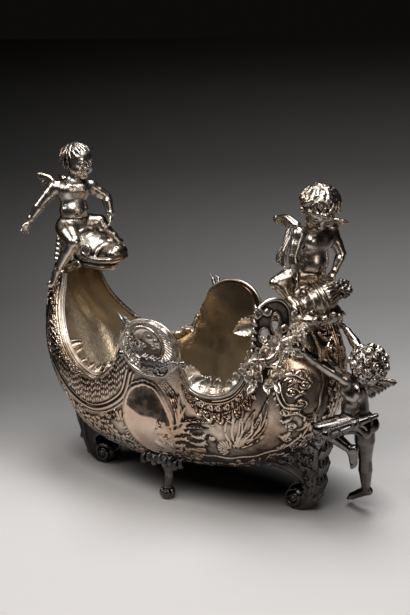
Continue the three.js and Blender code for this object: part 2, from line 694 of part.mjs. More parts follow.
// A putto from its joints' places, all measured from the hips, and the radii of its limbs times its scale.
function makePutto(name, hips, size, pose) {
  const p = (key) => vec(...pose[key]).multiplyScalar(size / pose.size).add(hips);
  const r = (radius) => radius * size;
  const legs = [];
  for (const side of ["right", "left"]) {
    legs.push(limb(p(side + "_hip"), p(side + "_knee"), r(11.5), r(8)));
    legs.push(limb(p(side + "_knee"), p(side + "_ankle"), r(7.5), r(4.8)));
    legs.push(limb(p(side + "_ankle"), p(side + "_toe"), r(4.8), r(3.6), 6));
  }
  place(
    name + "_body",
    [
      ball(p("pelvis"), [r(17), r(18), r(15)], [0, 0, 0], 10),
      limb(p("pelvis"), p("belly"), r(15), r(16.5), 10),
      limb(p("belly"), p("chest"), r(15.5), r(15), 10),
      limb(p("chest"), p("neck"), r(9), r(7)),
      limb(p("right_shoulder"), p("left_shoulder"), r(9), r(9)),
      ...legs,
    ],
    castSilver,
  );
  const head = p("head");
  const cap = head.clone().add(vec(0, 0, r(5)));
  const curls = [];
  for (let k = 0; k < 5; k++) {
    const [turn, rise] = [k * 2.4, 0.35 + k / 9];
    const out = Math.sqrt(1 - rise * rise) * r(17);
    curls.push(ball(cap.clone().add(vec(out * Math.cos(turn), out * Math.sin(turn), rise * r(14.5))), [r(8), r(8), r(7)], [0, 0, 0], 6));
  }
  place(
    name + "_head",
    [ball(head, [r(20), r(19), r(23)]), ball(cap, [r(22), r(21), r(19)]), ...curls],
    castSilver,
  );
  for (const side of ["right", "left"]) {
    place(
      name + "_" + side + "_arm",
      [
        limb(p(side + "_shoulder"), p(side + "_elbow"), r(6.8), r(5.4)),
        limb(p(side + "_elbow"), p(side + "_wrist"), r(5.6), r(3.8)),
        ball(p(side + "_hand"), [r(5.8), r(5.8), r(4.6)]),
        limb(p(side + "_hand"), p(side + "_hand").lerp(p(side + "_wrist"), -0.6), r(4.4), r(3), 6),
      ],
      castSilver,
    );
    const [tip, drop, chord] = pose[side + "_wing"];
    const root = p(side + "_wing_root");
    const blade = wing(root, root.clone().add(vec(...tip).multiplyScalar(size / pose.size)), vec(...drop).normalize(), r(chord));
    place(name + "_" + side + "_wing", [blade, ball(root, [r(4), r(4), r(5)], [0, 0, 0], 8)], castSilver);
  }
}

// Poses: millimetres from the hips, as drawn for a putto of the given size.
const riderPose = {
  size: 1.1,
  pelvis: [0, 0, 0], belly: [3, -1, 20], chest: [3, -2, 44], neck: [5, -1, 67], head: [8, 0, 95],
  right_shoulder: [-13, -19, 53], right_elbow: [-30, -33, 33], right_wrist: [-48, -42, 11], right_hand: [-56, -46, -2],
  left_shoulder: [16, 19, 51], left_elbow: [34, 30, 37], left_wrist: [42, 27, 15], left_hand: [44, 24, 6],
  right_hip: [-2, -12, -3], right_knee: [22, -34, -18], right_ankle: [-3, -38, -60], right_toe: [-10, -43, -80],
  left_hip: [4, 10, -2], left_knee: [24, 26, 1], left_ankle: [42, 35, -20], left_toe: [49, 37, -28],
  right_wing_root: [-22, -7, 54], right_wing: [[-24, -8, 16], [0.3, 0, -1], 17],
  left_wing_root: [-12, 9, 55], left_wing: [[-24, 8, 18], [0.3, 0, -1], 17],
};
const pourerPose = {
  size: 1.25,
  pelvis: [0, 2, 0], belly: [5, 0, 21], chest: [9, -2, 43], neck: [12, -2, 62], head: [18, -3, 90],
  right_shoulder: [-1, -25, 60], right_elbow: [-3, -37, 31], right_wrist: [2, -37, 9], right_hand: [4, -37, 1],
  left_shoulder: [24, 21, 56], left_elbow: [37, 24, 28], left_wrist: [33, 13, 8], left_hand: [30, 8, 1],
  right_hip: [-6, -13, 3], right_knee: [-24, -41, -4], right_ankle: [-9, -44, -22], right_toe: [4, -48, -29],
  left_hip: [4, 15, 2], left_knee: [-8, 47, -5], left_ankle: [4, 46, -28], left_toe: [16, 48, -33],
  right_wing_root: [-16, 0, 66], right_wing: [[-42, 18, -2], [0.15, 0, -1], 42],
  left_wing_root: [14, 19, 66], left_wing: [[32, 15, 8], [-0.2, 0.1, -1], 30],
};
const pusherPose = {
  size: 1.2,
  pelvis: [0, 0, 0], belly: [-4, -3, 20], chest: [-5, -5, 42], neck: [-2, -4, 58], head: [13, -2, 83],
  right_shoulder: [-8, 20, 58], right_elbow: [-27, 46, 86], right_wrist: [-46, 56, 102], right_hand: [-54, 58, 107],
  left_shoulder: [-14, -20, 62], left_elbow: [-40, -46, 88], left_wrist: [-53, -64, 106], left_hand: [-58, -70, 113],
  right_hip: [0, 15, -6], right_knee: [-4, 32, -58], right_ankle: [-5, 43, -112], right_toe: [-28, 50, -131],
  left_hip: [-2, -11, 2], left_knee: [-40, -36, -5], left_ankle: [3, -30, -29], left_toe: [4, -26, -46],
  right_wing_root: [4, 13, 46], right_wing: [[35, 15, 5], [0.2, 0, -1], 18],
  left_wing_root: [2, -8, 44], left_wing: [[37, -2, 2], [0.2, 0, -1], 18],
};

// Leaves on the rims: frame number and length.
const prowLeaves = [[3.4, 15], [4.9, 12], [5.5, 16], [6, 12], [6.5, 16]];
const waistLeaves = [[13.4, 12], [14.5, 11], [15.2, 12], [16, 10], [17.4, 12]];

makeBowl();
for (const [word, side] of [["near", near], ["far", far]]) {
  place("prow_rim_" + word, [rimStrip(0.5, 7, side), ...rimLeaves(prowLeaves, side)], castSilver);
  place("waist_rim_" + word, [rimStrip(13, 18, side), ...rimLeaves(waistLeaves, side)], castSilver);
  const centre = makeRoundel("roundel_" + word, side);
  makeShell("roundel_shell_" + word, side, centre);
  makeSternScroll("stern_scroll_" + word, side);
}
makeEndFeet();
makeSideFoot("side_foot_near", near);
makeSideFoot("side_foot_far", far);
const saddle = makeDolphin();
const urnMouth = makeStern();
makeGarland("garland_near", near);
makeGarland("garland_far", far);
makePutto("rider", saddle.clone().add(vec(-16, 0, 11)), riderSize, riderPose);
makePutto("pourer", sternTop.clone().add(vec(-27, 0, 54)), pourerSize, pourerPose);

const pusherHips = vec(frames[20].keel.x + pusherStand.behind, -pusherStand.aside, pusherStand.hips);
makePutto("pusher", pusherHips, pusherSize, pusherPose);
const quiverMouth = pusherHips.clone().add(vec(-20, -44, -3));
place(
  "quiver",
  [
    limb(quiverMouth, quiverMouth.clone().add(vec(52, 26, 25)), 9, 4, 10),
    limb(quiverMouth.clone().add(vec(8, 4, 2)), quiverMouth.clone().add(vec(-8, -2, -6)), 6, 8, 8),
  ],
  castSilver,
);
for (const name of Object.keys(attach)) makeNut(name + "_nut", name);

const box = new THREE.Box3().setFromObject(planter);
planter.position.set(-(box.min.x + box.max.x) / 2, -(box.min.y + box.max.y) / 2, -box.min.z);

export default planter;
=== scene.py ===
import math
from itertools import product

import bpy
import numpy as np
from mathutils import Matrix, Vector
from mathutils.bvhtree import BVHTree


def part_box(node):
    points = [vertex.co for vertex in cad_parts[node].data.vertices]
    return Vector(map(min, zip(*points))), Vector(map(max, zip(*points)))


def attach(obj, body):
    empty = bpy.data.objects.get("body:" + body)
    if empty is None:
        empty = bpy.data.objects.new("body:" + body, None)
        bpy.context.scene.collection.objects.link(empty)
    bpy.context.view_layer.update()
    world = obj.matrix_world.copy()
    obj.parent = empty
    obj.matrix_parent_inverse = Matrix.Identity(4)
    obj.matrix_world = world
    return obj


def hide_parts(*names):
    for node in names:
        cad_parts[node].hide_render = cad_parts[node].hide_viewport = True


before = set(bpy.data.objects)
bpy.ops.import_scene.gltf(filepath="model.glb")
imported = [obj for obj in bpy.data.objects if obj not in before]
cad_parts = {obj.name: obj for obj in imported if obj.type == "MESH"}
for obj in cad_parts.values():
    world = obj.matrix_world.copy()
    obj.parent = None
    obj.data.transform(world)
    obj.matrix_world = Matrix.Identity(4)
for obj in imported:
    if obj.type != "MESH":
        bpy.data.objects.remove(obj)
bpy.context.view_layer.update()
print("frame:", len(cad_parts), "nodes")

near, far = -1, 1
bothSides = ((near, "Near", "_near"), (far, "Far", "_far"))
toMetres = 0.001
eastward, upward = np.array([1.0, 0, 0]), np.array([0, 0, 1.0])
goldenAngle, fifthTurn = 2.39996, 1.257


def unit(v):
    v = np.asarray(v, float)
    return v / np.linalg.norm(v)


def mix(a, b, t):
    return np.asarray(a, float) * (1 - t) + np.asarray(b, float) * t


def smoothMin(a, b, k):
    if k <= 0:
        return np.minimum(a, b)
    h = np.clip(0.5 + 0.5 * (b - a) / k, 0, 1)
    return b + (a - b) * h - k * h * (1 - h)


def smoothStep(low, high, x):
    t = np.clip((x - low) / (high - low), 0, 1)
    return t * t * (3 - 2 * t)


def catmull(points, t):
    # A centripetal spline through the points. t runs from 0 to their number less one.
    p = np.asarray(points, float)
    p = np.vstack([2 * p[0] - p[1], p, 2 * p[-1] - p[-2]])
    t = np.asarray(t, float)
    i = np.clip(np.floor(t).astype(int), 0, len(p) - 4)
    w = (t - i)[..., None]
    p0, p1, p2, p3 = (p[i + k] for k in range(4))
    pairs = ((p0, p1), (p1, p2), (p2, p3))
    gap = [np.sqrt(np.linalg.norm(b - a, axis=-1, keepdims=True)) for a, b in pairs]
    d0, d1, d2 = (np.maximum(g, 1e-4) for g in gap)
    m1 = ((p1 - p0) / d0 - (p2 - p0) / (d0 + d1) + (p2 - p1) / d1) * d1
    m2 = ((p2 - p1) / d1 - (p3 - p1) / (d1 + d2) + (p3 - p2) / d2) * d1
    return p1 + m1 * w + (-3 * p1 + 3 * p2 - 2 * m1 - m2) * w**2 + (2 * p1 - 2 * p2 + m1 + m2) * w**3


def lengthsAlong(points):
    # The length of a row of points up to each of them.
    return np.concatenate([[0], np.cumsum(np.linalg.norm(np.diff(points, axis=0), axis=1))])


def heading(angle):
    return np.array([math.cos(angle), math.sin(angle)])


def curve(points, step=1.0):
    # The spline as points about one step apart.
    p = np.asarray(points, float)
    rough = catmull(p, np.linspace(0, len(p) - 1, 40 * len(p)))
    along = lengthsAlong(rough)
    even = np.linspace(0, along[-1], max(2, int(along[-1] / step) + 1))
    return np.stack([np.interp(even, along, rough[:, k]) for k in range(p.shape[1])], axis=1)


def mirrored(half):
    # A line across the middle, from its points on one side, of which the last is in the middle.
    return [(x, -y, z) for x, y, z in half] + half[-2::-1]


def spiral(centre, start, radius, turns, inner=0.25, count=24):
    # A flat volute that winds in from its outer radius; start is an angle in degrees, turns may be negative.
    t = np.linspace(0, 1, count)
    angle = math.radians(start) + t * turns * 2 * math.pi
    r = radius * (1 - (1 - inner) * t**0.8)
    return np.stack([centre[0] + r * np.cos(angle), centre[1] + r * np.sin(angle)], axis=1)


def vertexNormals(points, faces):
    a, b, c, d = (points[faces[:, k]] for k in range(4))
    flat = np.cross(c - a, d - b)
    total = np.zeros_like(points)
    for k in range(4):
        for axis in range(3):
            total[:, axis] += np.bincount(faces[:, k], flat[:, axis], len(points))
    return total / np.maximum(np.linalg.norm(total, axis=1, keepdims=True), 1e-9)


def softened(points, faces, passes):
    # Each point moved to the middle of its neighbours, once for each pass.
    ahead, behind = (np.concatenate([faces[:, k - shift] for k in range(4)]) for shift in (0, 1))
    start, end = np.concatenate([ahead, behind]), np.concatenate([behind, ahead])
    degree = np.maximum(np.bincount(start, minlength=len(points)), 1)
    for _ in range(passes):
        moved = [np.bincount(start, points[end, k], len(points)) / degree
                 for k in range(points.shape[1])]
        points = np.stack(moved, axis=1)
    return points


def reliefOf(points, faces, passes):
    # How far each point stands proud of the smoothed surface, in millimetres: below zero in a recess.
    normals = vertexNormals(points, faces)
    return np.einsum("ij,ij->i", points - softened(points, faces, passes), normals)


def added(name, data):
    made = bpy.data.objects.new(name, data)
    bpy.context.scene.collection.objects.link(made)
    return made


def writeAttributes(mesh, attributes):
    for key, values in attributes.items():
        values = np.asarray(values, np.float32)
        kind, field = ("FLOAT", "value") if values.ndim == 1 else ("FLOAT_VECTOR", "vector")
        mesh.attributes.new(key, kind, "POINT").data.foreach_set(field, values.ravel())


def plainMesh(name, points, faces, relief):
    mesh = bpy.data.meshes.new(name)
    faces = np.asarray(faces)
    mesh.vertices.add(len(points))
    mesh.vertices.foreach_set("co", (np.asarray(points) * toMetres).astype(np.float32).ravel())
    mesh.loops.add(faces.size)
    mesh.loops.foreach_set("vertex_index", faces.astype(np.int32).ravel())
    mesh.polygons.add(len(faces))
    mesh.polygons.foreach_set("loop_start", np.arange(0, faces.size, faces.shape[1], dtype=np.int32))
    mesh.polygons.foreach_set("use_smooth", np.ones(len(faces), bool))
    writeAttributes(mesh, {"relief": relief})
    mesh.update(calc_edges=True)
    return mesh


def dress(piece, slotName, nodes=()):
    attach(piece, "root")
    if nodes:
        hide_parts(*nodes)
    return piece


def addPiece(name, points, faces, metal, slotName, nodes=(), passes=10, relief=None, second=None):
    # A finished piece of the object. second is (first face, material) where its inside has another finish.
    if relief is None:
        relief = reliefOf(np.asarray(points, float), faces, passes)
    mesh = plainMesh(name, points, faces, relief)
    mesh.materials.append(silver[metal])
    if second:
        mesh.materials.append(second[1])
        mesh.polygons.foreach_set("material_index",
                                  (np.arange(len(faces)) >= second[0]).astype(np.int32))
    return dress(added(name, mesh), slotName, nodes)


def gridFaces(rows, columns, offset=0, flip=False):
    i, j = np.meshgrid(np.arange(rows - 1), np.arange(columns - 1), indexing="ij")
    a = (i * columns + j + offset).ravel()
    quad = [a, a + columns, a + columns + 1, a + 1]
    return np.stack(quad[::-1] if flip else quad, axis=1)


def slabFaces(rows, columns):
    # Two grids back to back, the first looking outwards, closed along their four edges.
    back = rows * columns
    i, j = np.arange(rows - 1), np.arange(columns - 1)
    low, high = i * columns, i * columns + columns - 1
    top, base = j, (rows - 1) * columns + j
    walls = [
        np.stack([low, low + back, low + columns + back, low + columns], axis=1),
        np.stack([high + columns, high + columns + back, high + back, high], axis=1),
        np.stack([top + 1, top + 1 + back, top + back, top], axis=1),
        np.stack([base, base + back, base + 1 + back, base + 1], axis=1),
    ]
    front = np.vstack([gridFaces(rows, columns), *walls])
    return front, gridFaces(rows, columns, back, flip=True)


class Clay:
    # Signed distances on a grid, in millimetres, negative inside.
    def __init__(self, low, high, step):
        self.low, self.step = np.array(low, float) - 3 * step, step
        size = np.ceil((np.array(high, float) + 3 * step - self.low) / step).astype(int) + 1
        self.values = np.full(size, 60.0, np.float32)

    def merge(self, low, high, distance, blend, cut):
        margin = blend + 2 * self.step
        start = np.maximum(np.floor((low - margin - self.low) / self.step).astype(int), 0)
        stop = np.minimum(np.ceil((high + margin - self.low) / self.step).astype(int) + 1,
                          self.values.shape)
        if (stop <= start).any():
            return self
        part = tuple(slice(a, b) for a, b in zip(start, stop))
        axes = [(self.low[k] + self.step * np.arange(start[k], stop[k])).astype(np.float32)
                for k in range(3)]
        found = distance(*np.meshgrid(*axes, indexing="ij", sparse=True)).astype(np.float32)
        old = self.values[part]
        self.values[part] = -smoothMin(-old, found, blend) if cut else smoothMin(old, found, blend)
        return self

    def ball(self, centre, radii, axes=None, blend=0.0, cut=False):
        c, r = np.array(centre, float), np.ones(3) * radii
        reach = r if axes is None else np.ones(3) * r.max()
        turn = np.eye(3) if axes is None else np.array(axes, float)

        def distance(x, y, z):
            x, y, z = x - c[0], y - c[1], z - c[2]
            q = [(turn[k][0] * x + turn[k][1] * y + turn[k][2] * z) / r[k] for k in range(3)]
            k0 = np.sqrt(q[0] ** 2 + q[1] ** 2 + q[2] ** 2) + 1e-5
            k1 = np.sqrt((q[0] / r[0]) ** 2 + (q[1] / r[1]) ** 2 + (q[2] / r[2]) ** 2) + 1e-5 / r.max()
            return k0 * (k0 - 1) / k1

        return self.merge(c - reach, c + reach, distance, blend, cut)

    def limb(self, start, end, startRadius, endRadius, blend=0.0, cut=False):
        a, b = np.array(start, float), np.array(end, float)
        line = b - a
        square = max(line @ line, 1e-6)
        most = max(startRadius, endRadius)

        def distance(x, y, z):
            x, y, z = x - a[0], y - a[1], z - a[2]
            h = np.clip((x * line[0] + y * line[1] + z * line[2]) / square, 0, 1)
            away = np.sqrt((x - h * line[0]) ** 2 + (y - h * line[1]) ** 2 + (z - h * line[2]) ** 2)
            return away - (startRadius + (endRadius - startRadius) * h)

        return self.merge(np.minimum(a, b) - most, np.maximum(a, b) + most, distance, blend, cut)

    def tube(self, points, radii, blend=0.0, join=0.6, cut=False):
        # A bent limb, as thick along its way as radii say. Its lengths follow each other closely.
        radii = np.interp(np.linspace(0, 1, len(points)), np.linspace(0, 1, len(radii)), radii)
        for k in range(len(points) - 1):
            self.limb(points[k], points[k + 1], radii[k], radii[k + 1], max(blend, join), cut)
        return self

    def curl(self, centre, radius, turns, radii, blend, first=eastward, second=upward, inner=0.2):
        # A volute that winds in towards its centre, in the plane of two directions.
        flat = spiral((0, 0), 0, radius, turns, inner, 22)
        return self.tube(centre + flat[:, :1] * first + flat[:, 1:] * second, radii, blend)

    def mesh(self, smoothing=1):
        # A point in each cell that the surface crosses, and a face around each edge of the grid that it cuts.
        d, ways = self.values, np.eye(3, dtype=int)
        inside = d < 0
        half = [slice(0, -1), slice(1, None)]
        total = sum(inside[a, b, c].astype(np.uint8) for a in half for b in half for c in half)
        active = (total > 0) & (total < 8)
        where = np.argwhere(active)
        cell = np.full(active.shape, -1, np.int32)
        cell[active] = np.arange(len(where), dtype=np.int32)
        sums, hits, quads = np.zeros((len(where), 3)), np.zeros(len(where)), []
        for axis in range(3):
            b, c = (axis + 1) % 3, (axis + 2) % 3
            ahead, none, both = ways[axis], 0 * ways[b], ways[b] + ways[c]
            for offset in (none, ways[c], ways[b], both):
                first = where + offset
                start, end = d[tuple(first.T)], d[tuple((first + ahead).T)]
                crosses = (start < 0) != (end < 0)
                t = (start / np.where(crosses, start - end, 1))[:, None]
                sums += np.where(crosses[:, None], offset + t * ahead, 0)
                hits += crosses
            at = np.argwhere(np.diff(inside, axis=axis))
            at = at[(at[:, b] > 0) & (at[:, c] > 0) & (at[:, b] < d.shape[b] - 1)
                    & (at[:, c] < d.shape[c] - 1)]
            quad = np.stack([cell[tuple((at - o).T)] for o in (both, ways[c], none, ways[b])], axis=1)
            quads.append(np.where(inside[tuple(at.T)][:, None], quad, quad[:, ::-1]))
        points, faces = self.low + self.step * (where + sums / hits[:, None]), np.vstack(quads)
        for _ in range(smoothing):
            points = mix(points, softened(points, faces, 1), 0.5)
        return points, faces


class Wire:
    # A shader socket that can be used in sums.
    def __init__(self, shader, socket):
        self.shader, self.socket = shader, socket

    def math(self, operation, other, swap=False):
        pair = [other, self] if swap else [self, other]
        return self.shader.node("ShaderNodeMath", {"operation": operation}, dict(enumerate(pair)))

    def __add__(self, other):
        return self.math("ADD", other)

    def __sub__(self, other):
        return self.math("SUBTRACT", other)

    def __rsub__(self, other):
        return self.math("SUBTRACT", other, True)

    def __mul__(self, other):
        return self.math("MULTIPLY", other)

    def __truediv__(self, other):
        return self.math("DIVIDE", other)

    __radd__, __rmul__ = __add__, __mul__

    def clamped(self, low=0.0, high=1.0):
        return self.shader.node("ShaderNodeClamp", {}, {"Value": self, "Min": low, "Max": high})


class Nodes:
    def node(self, kind, settings=None, inputs=None, output=None):
        made = self.tree.nodes.new(kind)
        for key, value in (settings or {}).items():
            if key == "stops":
                ramp = made.color_ramp
                while len(ramp.elements) < len(value):
                    ramp.elements.new(0.5)
                for element, (place, colour) in zip(ramp.elements, value):
                    element.position, element.color = place, (*colour, 1)
            else:
                setattr(made, key, value)
        for key, value in (inputs or {}).items():
            if isinstance(value, Wire):
                self.tree.links.new(value.socket, made.inputs[key])
            else:
                made.inputs[key].default_value = value
        shown = [o for o in made.outputs if o.enabled]
        return Wire(self, shown[0] if output is None else made.outputs[output]) if shown else None


class Shader(Nodes):
    def __init__(self, name):
        self.material = bpy.data.materials.new(name)
        self.material.use_nodes = True
        self.tree = self.material.node_tree
        self.tree.nodes.clear()

    def place(self):
        return self.node("ShaderNodeTexCoord", output=3)

    def split(self, vector):
        first = self.node("ShaderNodeSeparateXYZ", {}, {0: vector})
        return [Wire(self, output) for output in first.socket.node.outputs]

    def noise(self, scale, detail=3.0, roughness=0.55):
        values = {"Vector": self.place(), "Scale": scale, "Detail": detail, "Roughness": roughness}
        return self.node("ShaderNodeTexNoise", {}, values)

    def blend(self, factor, a, b):
        pair = {0: factor, 6: a if isinstance(a, Wire) else (*a, 1),
                7: b if isinstance(b, Wire) else (*b, 1)}
        return self.node("ShaderNodeMix", {"data_type": "RGBA"}, pair)

    def surface(self, inputs, bumps=()):
        normal = None
        for height, distance in bumps:
            values = {"Height": height, "Distance": distance}
            if normal:
                values["Normal"] = normal
            normal = self.node("ShaderNodeBump", {}, values)
        if normal:
            inputs = {**inputs, "Normal": normal}
        shader = self.node("ShaderNodeBsdfPrincipled", {}, inputs)
        self.node("ShaderNodeOutputMaterial", {}, {"Surface": shader})
        return self.material


# rough is the polished metal's roughness, tarnish how much of it is dark, depth how strongly that follows the
# relief, and low the height in metres below which painted shade darkens it, standing in for the shade low
# down.
silverLooks = {
    "bowlSilver": {
        "bright": (0.74, 0.61, 0.50), "tan": (0.56, 0.385, 0.27), "dark": (0.035, 0.028, 0.024),
        "rough": 0.13, "tarnish": 0.40, "depth": 1.7, "low": 0.108},
    "castSilver": {
        "bright": (0.70, 0.64, 0.58), "tan": (0.36, 0.275, 0.21), "dark": (0.026, 0.023, 0.021),
        "rough": 0.25, "tarnish": 0.46, "depth": 1.6, "low": 0.0},
    # A brighter copy with less tarnish: cleaner, and partly painted light on the garland, the waist leaves
    # and the roundel.
    "cleanLitSilver": {
        "bright": (0.82, 0.76, 0.69), "tan": (0.54, 0.44, 0.35), "dark": (0.05, 0.044, 0.04),
        "rough": 0.28, "tarnish": 0.28, "depth": 1.5, "low": 0.0},
    # A darker copy for the pusher, with painted shade over everything below 0.212 m.
    "shadedSilver": {
        "bright": (0.56, 0.51, 0.47), "tan": (0.20, 0.16, 0.13), "dark": (0.05, 0.048, 0.05),
        "rough": 0.17, "tarnish": 0.48, "depth": 1.6, "low": 0.212},
    # A darker copy, and painted shade on the feet below 0.135 m.
    "darkSilver": {
        "bright": (0.36, 0.335, 0.32), "tan": (0.14, 0.122, 0.11), "dark": (0.016, 0.015, 0.015),
        "rough": 0.24, "tarnish": 0.54, "depth": 1.5, "low": 0.135},
}
patinaAndShade = {"spread": 0.9, "cleared": 0.28, "lowShadeFade": 0.055, "lowShade": 0.72, "grain": 0.00012,
          "dents": 0.0003}


def agedSilver(name, bright, tan, dark, rough, tarnish, depth, low):
    s = Shader(name)
    relief = s.node("ShaderNodeAttribute", {"attribute_name": "relief"}, {}, 2)
    cloud, blotch, grain = s.noise(13.0, 4.0), s.noise(70.0, 5.0, 0.62), s.noise(900.0, 2.0)
    spread = patinaAndShade["spread"]
    soot = tarnish + relief * -depth + (blotch - 0.5) * spread + (cloud - 0.5) * spread
    soot = (soot - patinaAndShade["cleared"]).clamped()
    warm = ((cloud - 0.40) * 4.5 + (blotch - 0.5) * 1.2).clamped()
    # Painted shade: below the height low, the colour is blended towards dark.
    height = s.split(s.place())[2]
    shade = ((low - height) / patinaAndShade["lowShadeFade"]).clamped() * patinaAndShade["lowShade"]
    colour = s.blend(shade, s.blend(soot, s.blend(warm, bright, tan), dark), dark)
    roughness = (soot * 0.24 + (blotch - 0.5) * 0.12 + rough).clamped(0.07, 0.6)
    inputs = {"Base Color": colour, "Metallic": 1.0, "Roughness": roughness}
    return s.surface(inputs, [(grain, patinaAndShade["grain"]), (blotch, patinaAndShade["dents"])])


giltLooks = {"clean": (0.66, 0.54, 0.37), "paintedHighlight": (0.95, 0.86, 0.70), "worn": (0.20, 0.155, 0.11),
             "paintedShade": (0.11, 0.085, 0.065)}


def giltInside():
    # Worn gilding, with painted shade deep in the stern and high in the prow, and a painted highlight low in
    # the prow.
    s = Shader("giltInside")
    cloud, blotch, streak = s.noise(11.0, 5.0, 0.6), s.noise(60.0, 5.0, 0.65), s.noise(300.0, 3.0)
    worn = ((cloud - 0.5) * 3.0 + (blotch - 0.5) * 1.6 + 0.45).clamped()
    x, _, z = s.split(s.place())
    # Painted shade deep in the stern and high in the prow.
    paintedShade = ((x + 0.07) / 0.06).clamped() * ((z - 0.18) / 0.05).clamped() * 0.92
    high = ((-0.1 - x) / 0.04).clamped() * ((z - 0.20) / 0.08).clamped() * 0.8
    # Painted highlight: paler gilding low in the prow.
    paintedHighlight = ((-0.15 - x) / 0.04).clamped() * ((0.27 - z) / 0.07).clamped()
    clean = s.blend(paintedHighlight, giltLooks["clean"], giltLooks["paintedHighlight"])
    aged = s.blend(worn * (1.0 - paintedHighlight * 0.7), clean, giltLooks["worn"])
    colour = s.blend((paintedShade + high).clamped(), aged, giltLooks["paintedShade"])
    roughness = ((blotch - 0.5) * 0.3 + 0.17).clamped(0.09, 0.4)
    inputs = {"Base Color": colour, "Metallic": 0.85, "Roughness": roughness}
    return s.surface(inputs, [(streak, 0.0002), (blotch, 0.0006)])


def plainSteel():
    s = Shader("nutSteel")
    scratch = s.noise(700.0, 3.0)
    colour = s.blend(scratch, (0.42, 0.41, 0.40), (0.30, 0.29, 0.28))
    inputs = {"Base Color": colour, "Metallic": 1.0, "Roughness": (scratch * 0.2 + 0.28).clamped()}
    return s.surface(inputs, [(scratch, 0.0001)])


silver = {name: agedSilver(name, **look) for name, look in silverLooks.items()}
gilt, steel = giltInside(), plainSteel()
print("materials:", len(bpy.data.materials))

# The bowl's surface has the same frames as in the part's source.
# girth is the longest way from the keel to the rim, and lifts how high the three carvings stand.
bowlSizes = {
    "wall": 3.0, "spacing": 1.38, "split": 11.5, "girth": 215,
    "lifts": {"flank": 0.66, "keel": 0.7, "rim": 0.8}}
# Painted shade on the flank, mixed with extra tarnish: by how much its relief is lowered, and between which
# x or z each of its edges sets in.
bowlPaintedShade = [
    (0.30, (("z", 125, 70),)),
    (0.26, (("x", 105, 180), ("z", 230, 170))),
    (0.08, (("x", 15, 40), ("z", 150, 120))),
    (0.16, (("x", 0, 12), ("x", 84, 70), ("z", 128, 112))),
    (0.30, (("x", 70, 135), ("z", 140, 88))),
]
bowlFrames = np.array([
    [-243, 298, -208, 38, 297, 1], [-248, 272, -206, 44, 278, 1], [-249, 240, -199, 60, 243, 0.95],
    [-243, 200, -174, 83, 205, 0.9], [-228, 158, -142, 97, 180, 0.85], [-203, 112, -108, 102, 171, 0.8],
    [-166, 71, -84, 105, 187, 0.75], [-127, 54, -71, 108, 210, 0.7], [-92, 48, -61, 112, 238, 0.66],
    [-60, 45, -43, 115, 259, 0.63], [-25, 45, -15, 116, 268, 0.64], [10, 46, 12, 114, 260, 0.66],
    [37, 48, 24, 111, 238, 0.7], [61, 51, 26, 108, 208, 0.74], [86, 56, 41, 106, 182, 0.78],
    [110, 63, 70, 105, 175, 0.8], [134, 73, 100, 104, 185, 0.82], [157, 87, 117, 101, 206, 0.82],
    [178, 107, 121, 96, 230, 0.8], [195, 140, 130, 87, 246, 0.8], [204, 172, 142, 73, 256, 0.82],
    [206, 205, 153, 57, 264, 0.85], [201, 238, 161, 40, 272, 0.9], [190, 266, 166, 25, 279, 1],
])
lastFrame = len(bowlFrames) - 1
fullness = np.stack([np.arange(lastFrame + 1), bowlFrames[:, 5]], axis=1)
keelLine = np.stack([bowlFrames[:, 0], 0 * bowlFrames[:, 0], bowlFrames[:, 1]], axis=1)
rimLine = bowlFrames[:, 2:5]
keelPoints = catmull(keelLine, np.arange(0, lastFrame + 0.1, 0.5))
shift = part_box("bowl")[0][0] / toMetres - keelPoints[:, 0].min()


def bowlPoint(u, v, side):
    u, v = np.broadcast_arrays(np.clip(u, 0, lastFrame).astype(float), np.clip(v, 0, 1).astype(float))
    keel, rim, full = catmull(keelLine, u), catmull(rimLine, u), catmull(fullness, u)[..., 1]
    rising, falling = v ** (1 / full), (1 - v) ** (1 / full)
    angle = rising / (rising + falling) * math.pi / 2
    down, out = np.maximum(np.cos(angle), 0) ** full, np.maximum(np.sin(angle), 0) ** full
    x = rim[..., 0] + (keel[..., 0] - rim[..., 0]) * down + shift
    z = rim[..., 2] + (keel[..., 2] - rim[..., 2]) * down
    return np.stack([x, side * rim[..., 1] * out, z], axis=-1)


def bowlNormal(u, v, side):
    u, v = np.asarray(u, float), np.maximum(np.asarray(v, float), 0.02)
    after, before = np.minimum(u + 0.02, lastFrame), np.maximum(u - 0.02, 0)
    along = bowlPoint(after, v, side) - bowlPoint(before, v, side)
    up = bowlPoint(u, np.minimum(v + 0.01, 1), side) - bowlPoint(u, v - 0.01, side)
    normal = np.cross(along, up) * -side
    return normal / np.linalg.norm(normal, axis=-1, keepdims=True)


def evenly(points, count):
    # Shares of a row of points that cut its length into even steps.
    length = lengthsAlong(points)
    shares = np.linspace(0, 1, len(points))
    return np.interp(np.linspace(0, length[-1], count), length, shares), length[-1]


